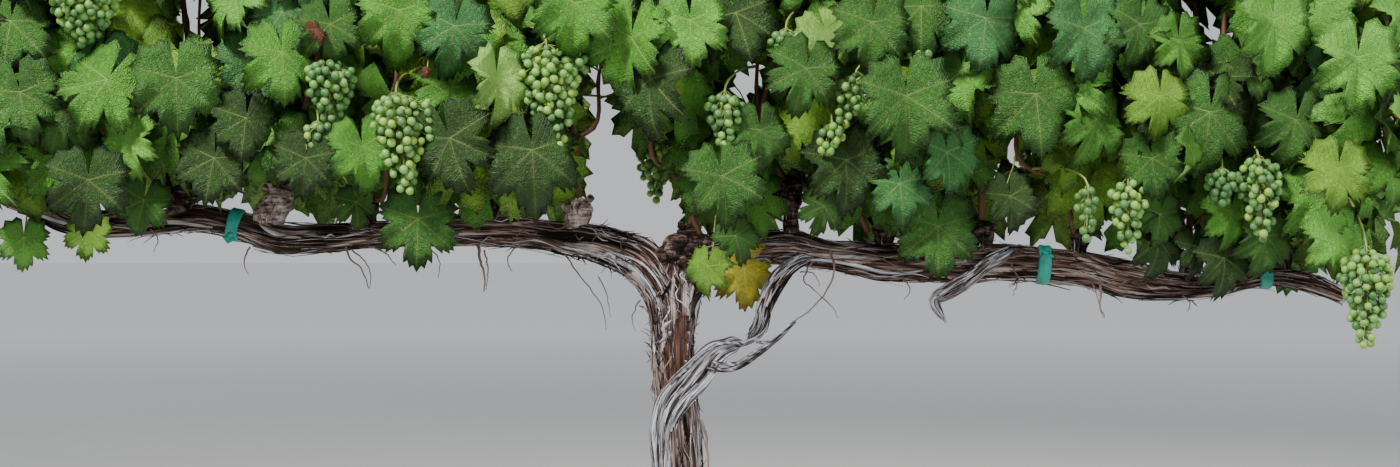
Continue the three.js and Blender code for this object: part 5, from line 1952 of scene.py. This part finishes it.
def dress(mass, templates):
    # Makes the pieces of a mass, and gives back how many leaves it has.
    leaves, ribs, shoots, grapes = Pile(), Pile(), Pile(), Pile()
    rng = np.random.default_rng(SEEDS["dressing"] + mass.number + 50 * mass.upper)
    for points, start, end, finish in mass.shoots:
        add_shoot(shoots, points * MM, start, end, finish)
    for leaf in mass.leaves:
        choice = templates[1 if leaf["inner"] else 0]
        template = choice[rng.integers(len(choice))]
        add_leaf(leaves, ribs, template, leaf, rng)
        add_petiole(shoots, leaf, rng)
    for _ in range(TENDRILS):
        root = mass.nodes[rng.integers(len(mass.nodes))][0] * MM
        add_tendril(shoots, root, rng)
    for bunch in mass.bunches:
        add_bunch(grapes, shoots, mass, bunch)
    make_piece(mass.name + "_leaves", leaves, LEAF_FINISHES, [mass.name])
    make_piece(mass.name + "_veins", ribs, VEIN_FINISHES)
    make_piece(mass.name + "_shoots", shoots, SHOOT_FINISHES)
    if mass.bunches:
        make_piece(mass.name + "_grapes", grapes, GRAPE_FINISHES)
    return len(mass.leaves)


def make_shown_canes():
    pile = Pile()
    for path in SHOWN_CANES:
        add_shoot(pile, pixel_path(path), *SHOWN_CANE_RADII, CANE_SLOT)
    make_piece("canes", pile, SHOOT_FINISHES)


# Camera, floor and light


def make_camera():
    lens = bpy.data.cameras.new("camera")
    lens.sensor_width = 36
    lens.lens = lens.sensor_width * CAMERA_DISTANCE / (PICTURE[0] * PIXEL)
    camera = add_object("camera", lens)
    camera.location = (camera_x(), -CAMERA_DISTANCE * MM, camera_z())
    camera.rotation_euler = (math.pi / 2, 0, 0)
    bpy.context.scene.camera = camera


def make_floor():
    corners = [(x * FLOOR_HALF, y * FLOOR_HALF, 0) for x, y in ((-1, -1), (1, -1), (1, 1), (-1, 1))]
    mesh = bpy.data.meshes.new("floor")
    mesh.from_pydata(corners, [], [(0, 1, 2, 3)])
    mesh.materials.append(floor_finish())
    floor = add_object("floor", mesh)
    floor.location.z = -FLOOR_DROP
    floor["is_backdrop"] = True


# Light: where all lamps point, the surrounding light's colour and strength, and for each lamp its place,
# size, power in watts and colour
LAMP_TARGET = np.array([0, 0, 1.2])
AROUND = {"colour": (0.88, 0.91, 0.94, 1), "strength": 0.7}
LAMPS = {
    "key": [(-2.2, -3.0, 4.6), 1.2, 480, (1.0, 0.985, 0.95)],
    "fill": [(3.4, -3.2, 1.8), 2.6, 90, (0.95, 0.98, 1.0)],
    "back": [(1.6, 3.4, 4.4), 1.6, 300, (1.0, 0.98, 0.9)],
}


def add_lamp(name, place, size, power, colour):
    lamp = bpy.data.lights.new(name, "AREA")
    lamp.shape = "DISK"
    lamp.size = size
    lamp.energy = power
    lamp.color = colour
    holder = add_object(name, lamp)
    heading = unit(LAMP_TARGET - np.array(place, float))
    holder.location = place
    yaw = math.atan2(-heading[0], heading[1])
    pitch = math.asin(heading[2])
    holder.rotation_euler = (math.pi / 2 + pitch, 0, yaw)


def make_light():
    world = bpy.data.worlds.new("studio")
    world.use_nodes = True
    background = world.node_tree.nodes["Background"]
    background.inputs[0].default_value = AROUND["colour"]
    background.inputs[1].default_value = AROUND["strength"]
    bpy.context.scene.world = world
    for name, settings in LAMPS.items():
        add_lamp(name, *settings)


TAPE = tape_finish()
make_camera()
make_floor()
make_light()
trunk, arm_left, arm_right = Limb(TRUNK), Limb(ARM_LEFT), Limb(ARM_RIGHT)
make_trunk()
make_arm(arm_left, "arm_left")
make_arm(arm_right, "arm_right")
spur_tips = [make_spur(i) for i in range(len(SPURS))]
for offset, (name, stations) in enumerate(STRAPS.items()):
    make_strap(name, stations, SEEDS["straps"] + offset)
make_loose_threads()
make_ties()
make_shown_canes()
template_source = np.random.default_rng(SEEDS["outlines"])
leaf_templates = [
    [leaf_template(template_source, grade) for _ in range(count)]
    for grade, count in ((FINE, FINE_OUTLINES), (PLAIN, PLAIN_OUTLINES))
]
leaf_counts = [dress(mass, leaf_templates) for mass in grow_foliage(spur_tips)]
print("leaves", sum(leaf_counts), leaf_counts)

sizes = {"cad": [list(corner) for corner in cad_box], "visual": [list(corner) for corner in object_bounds()]}
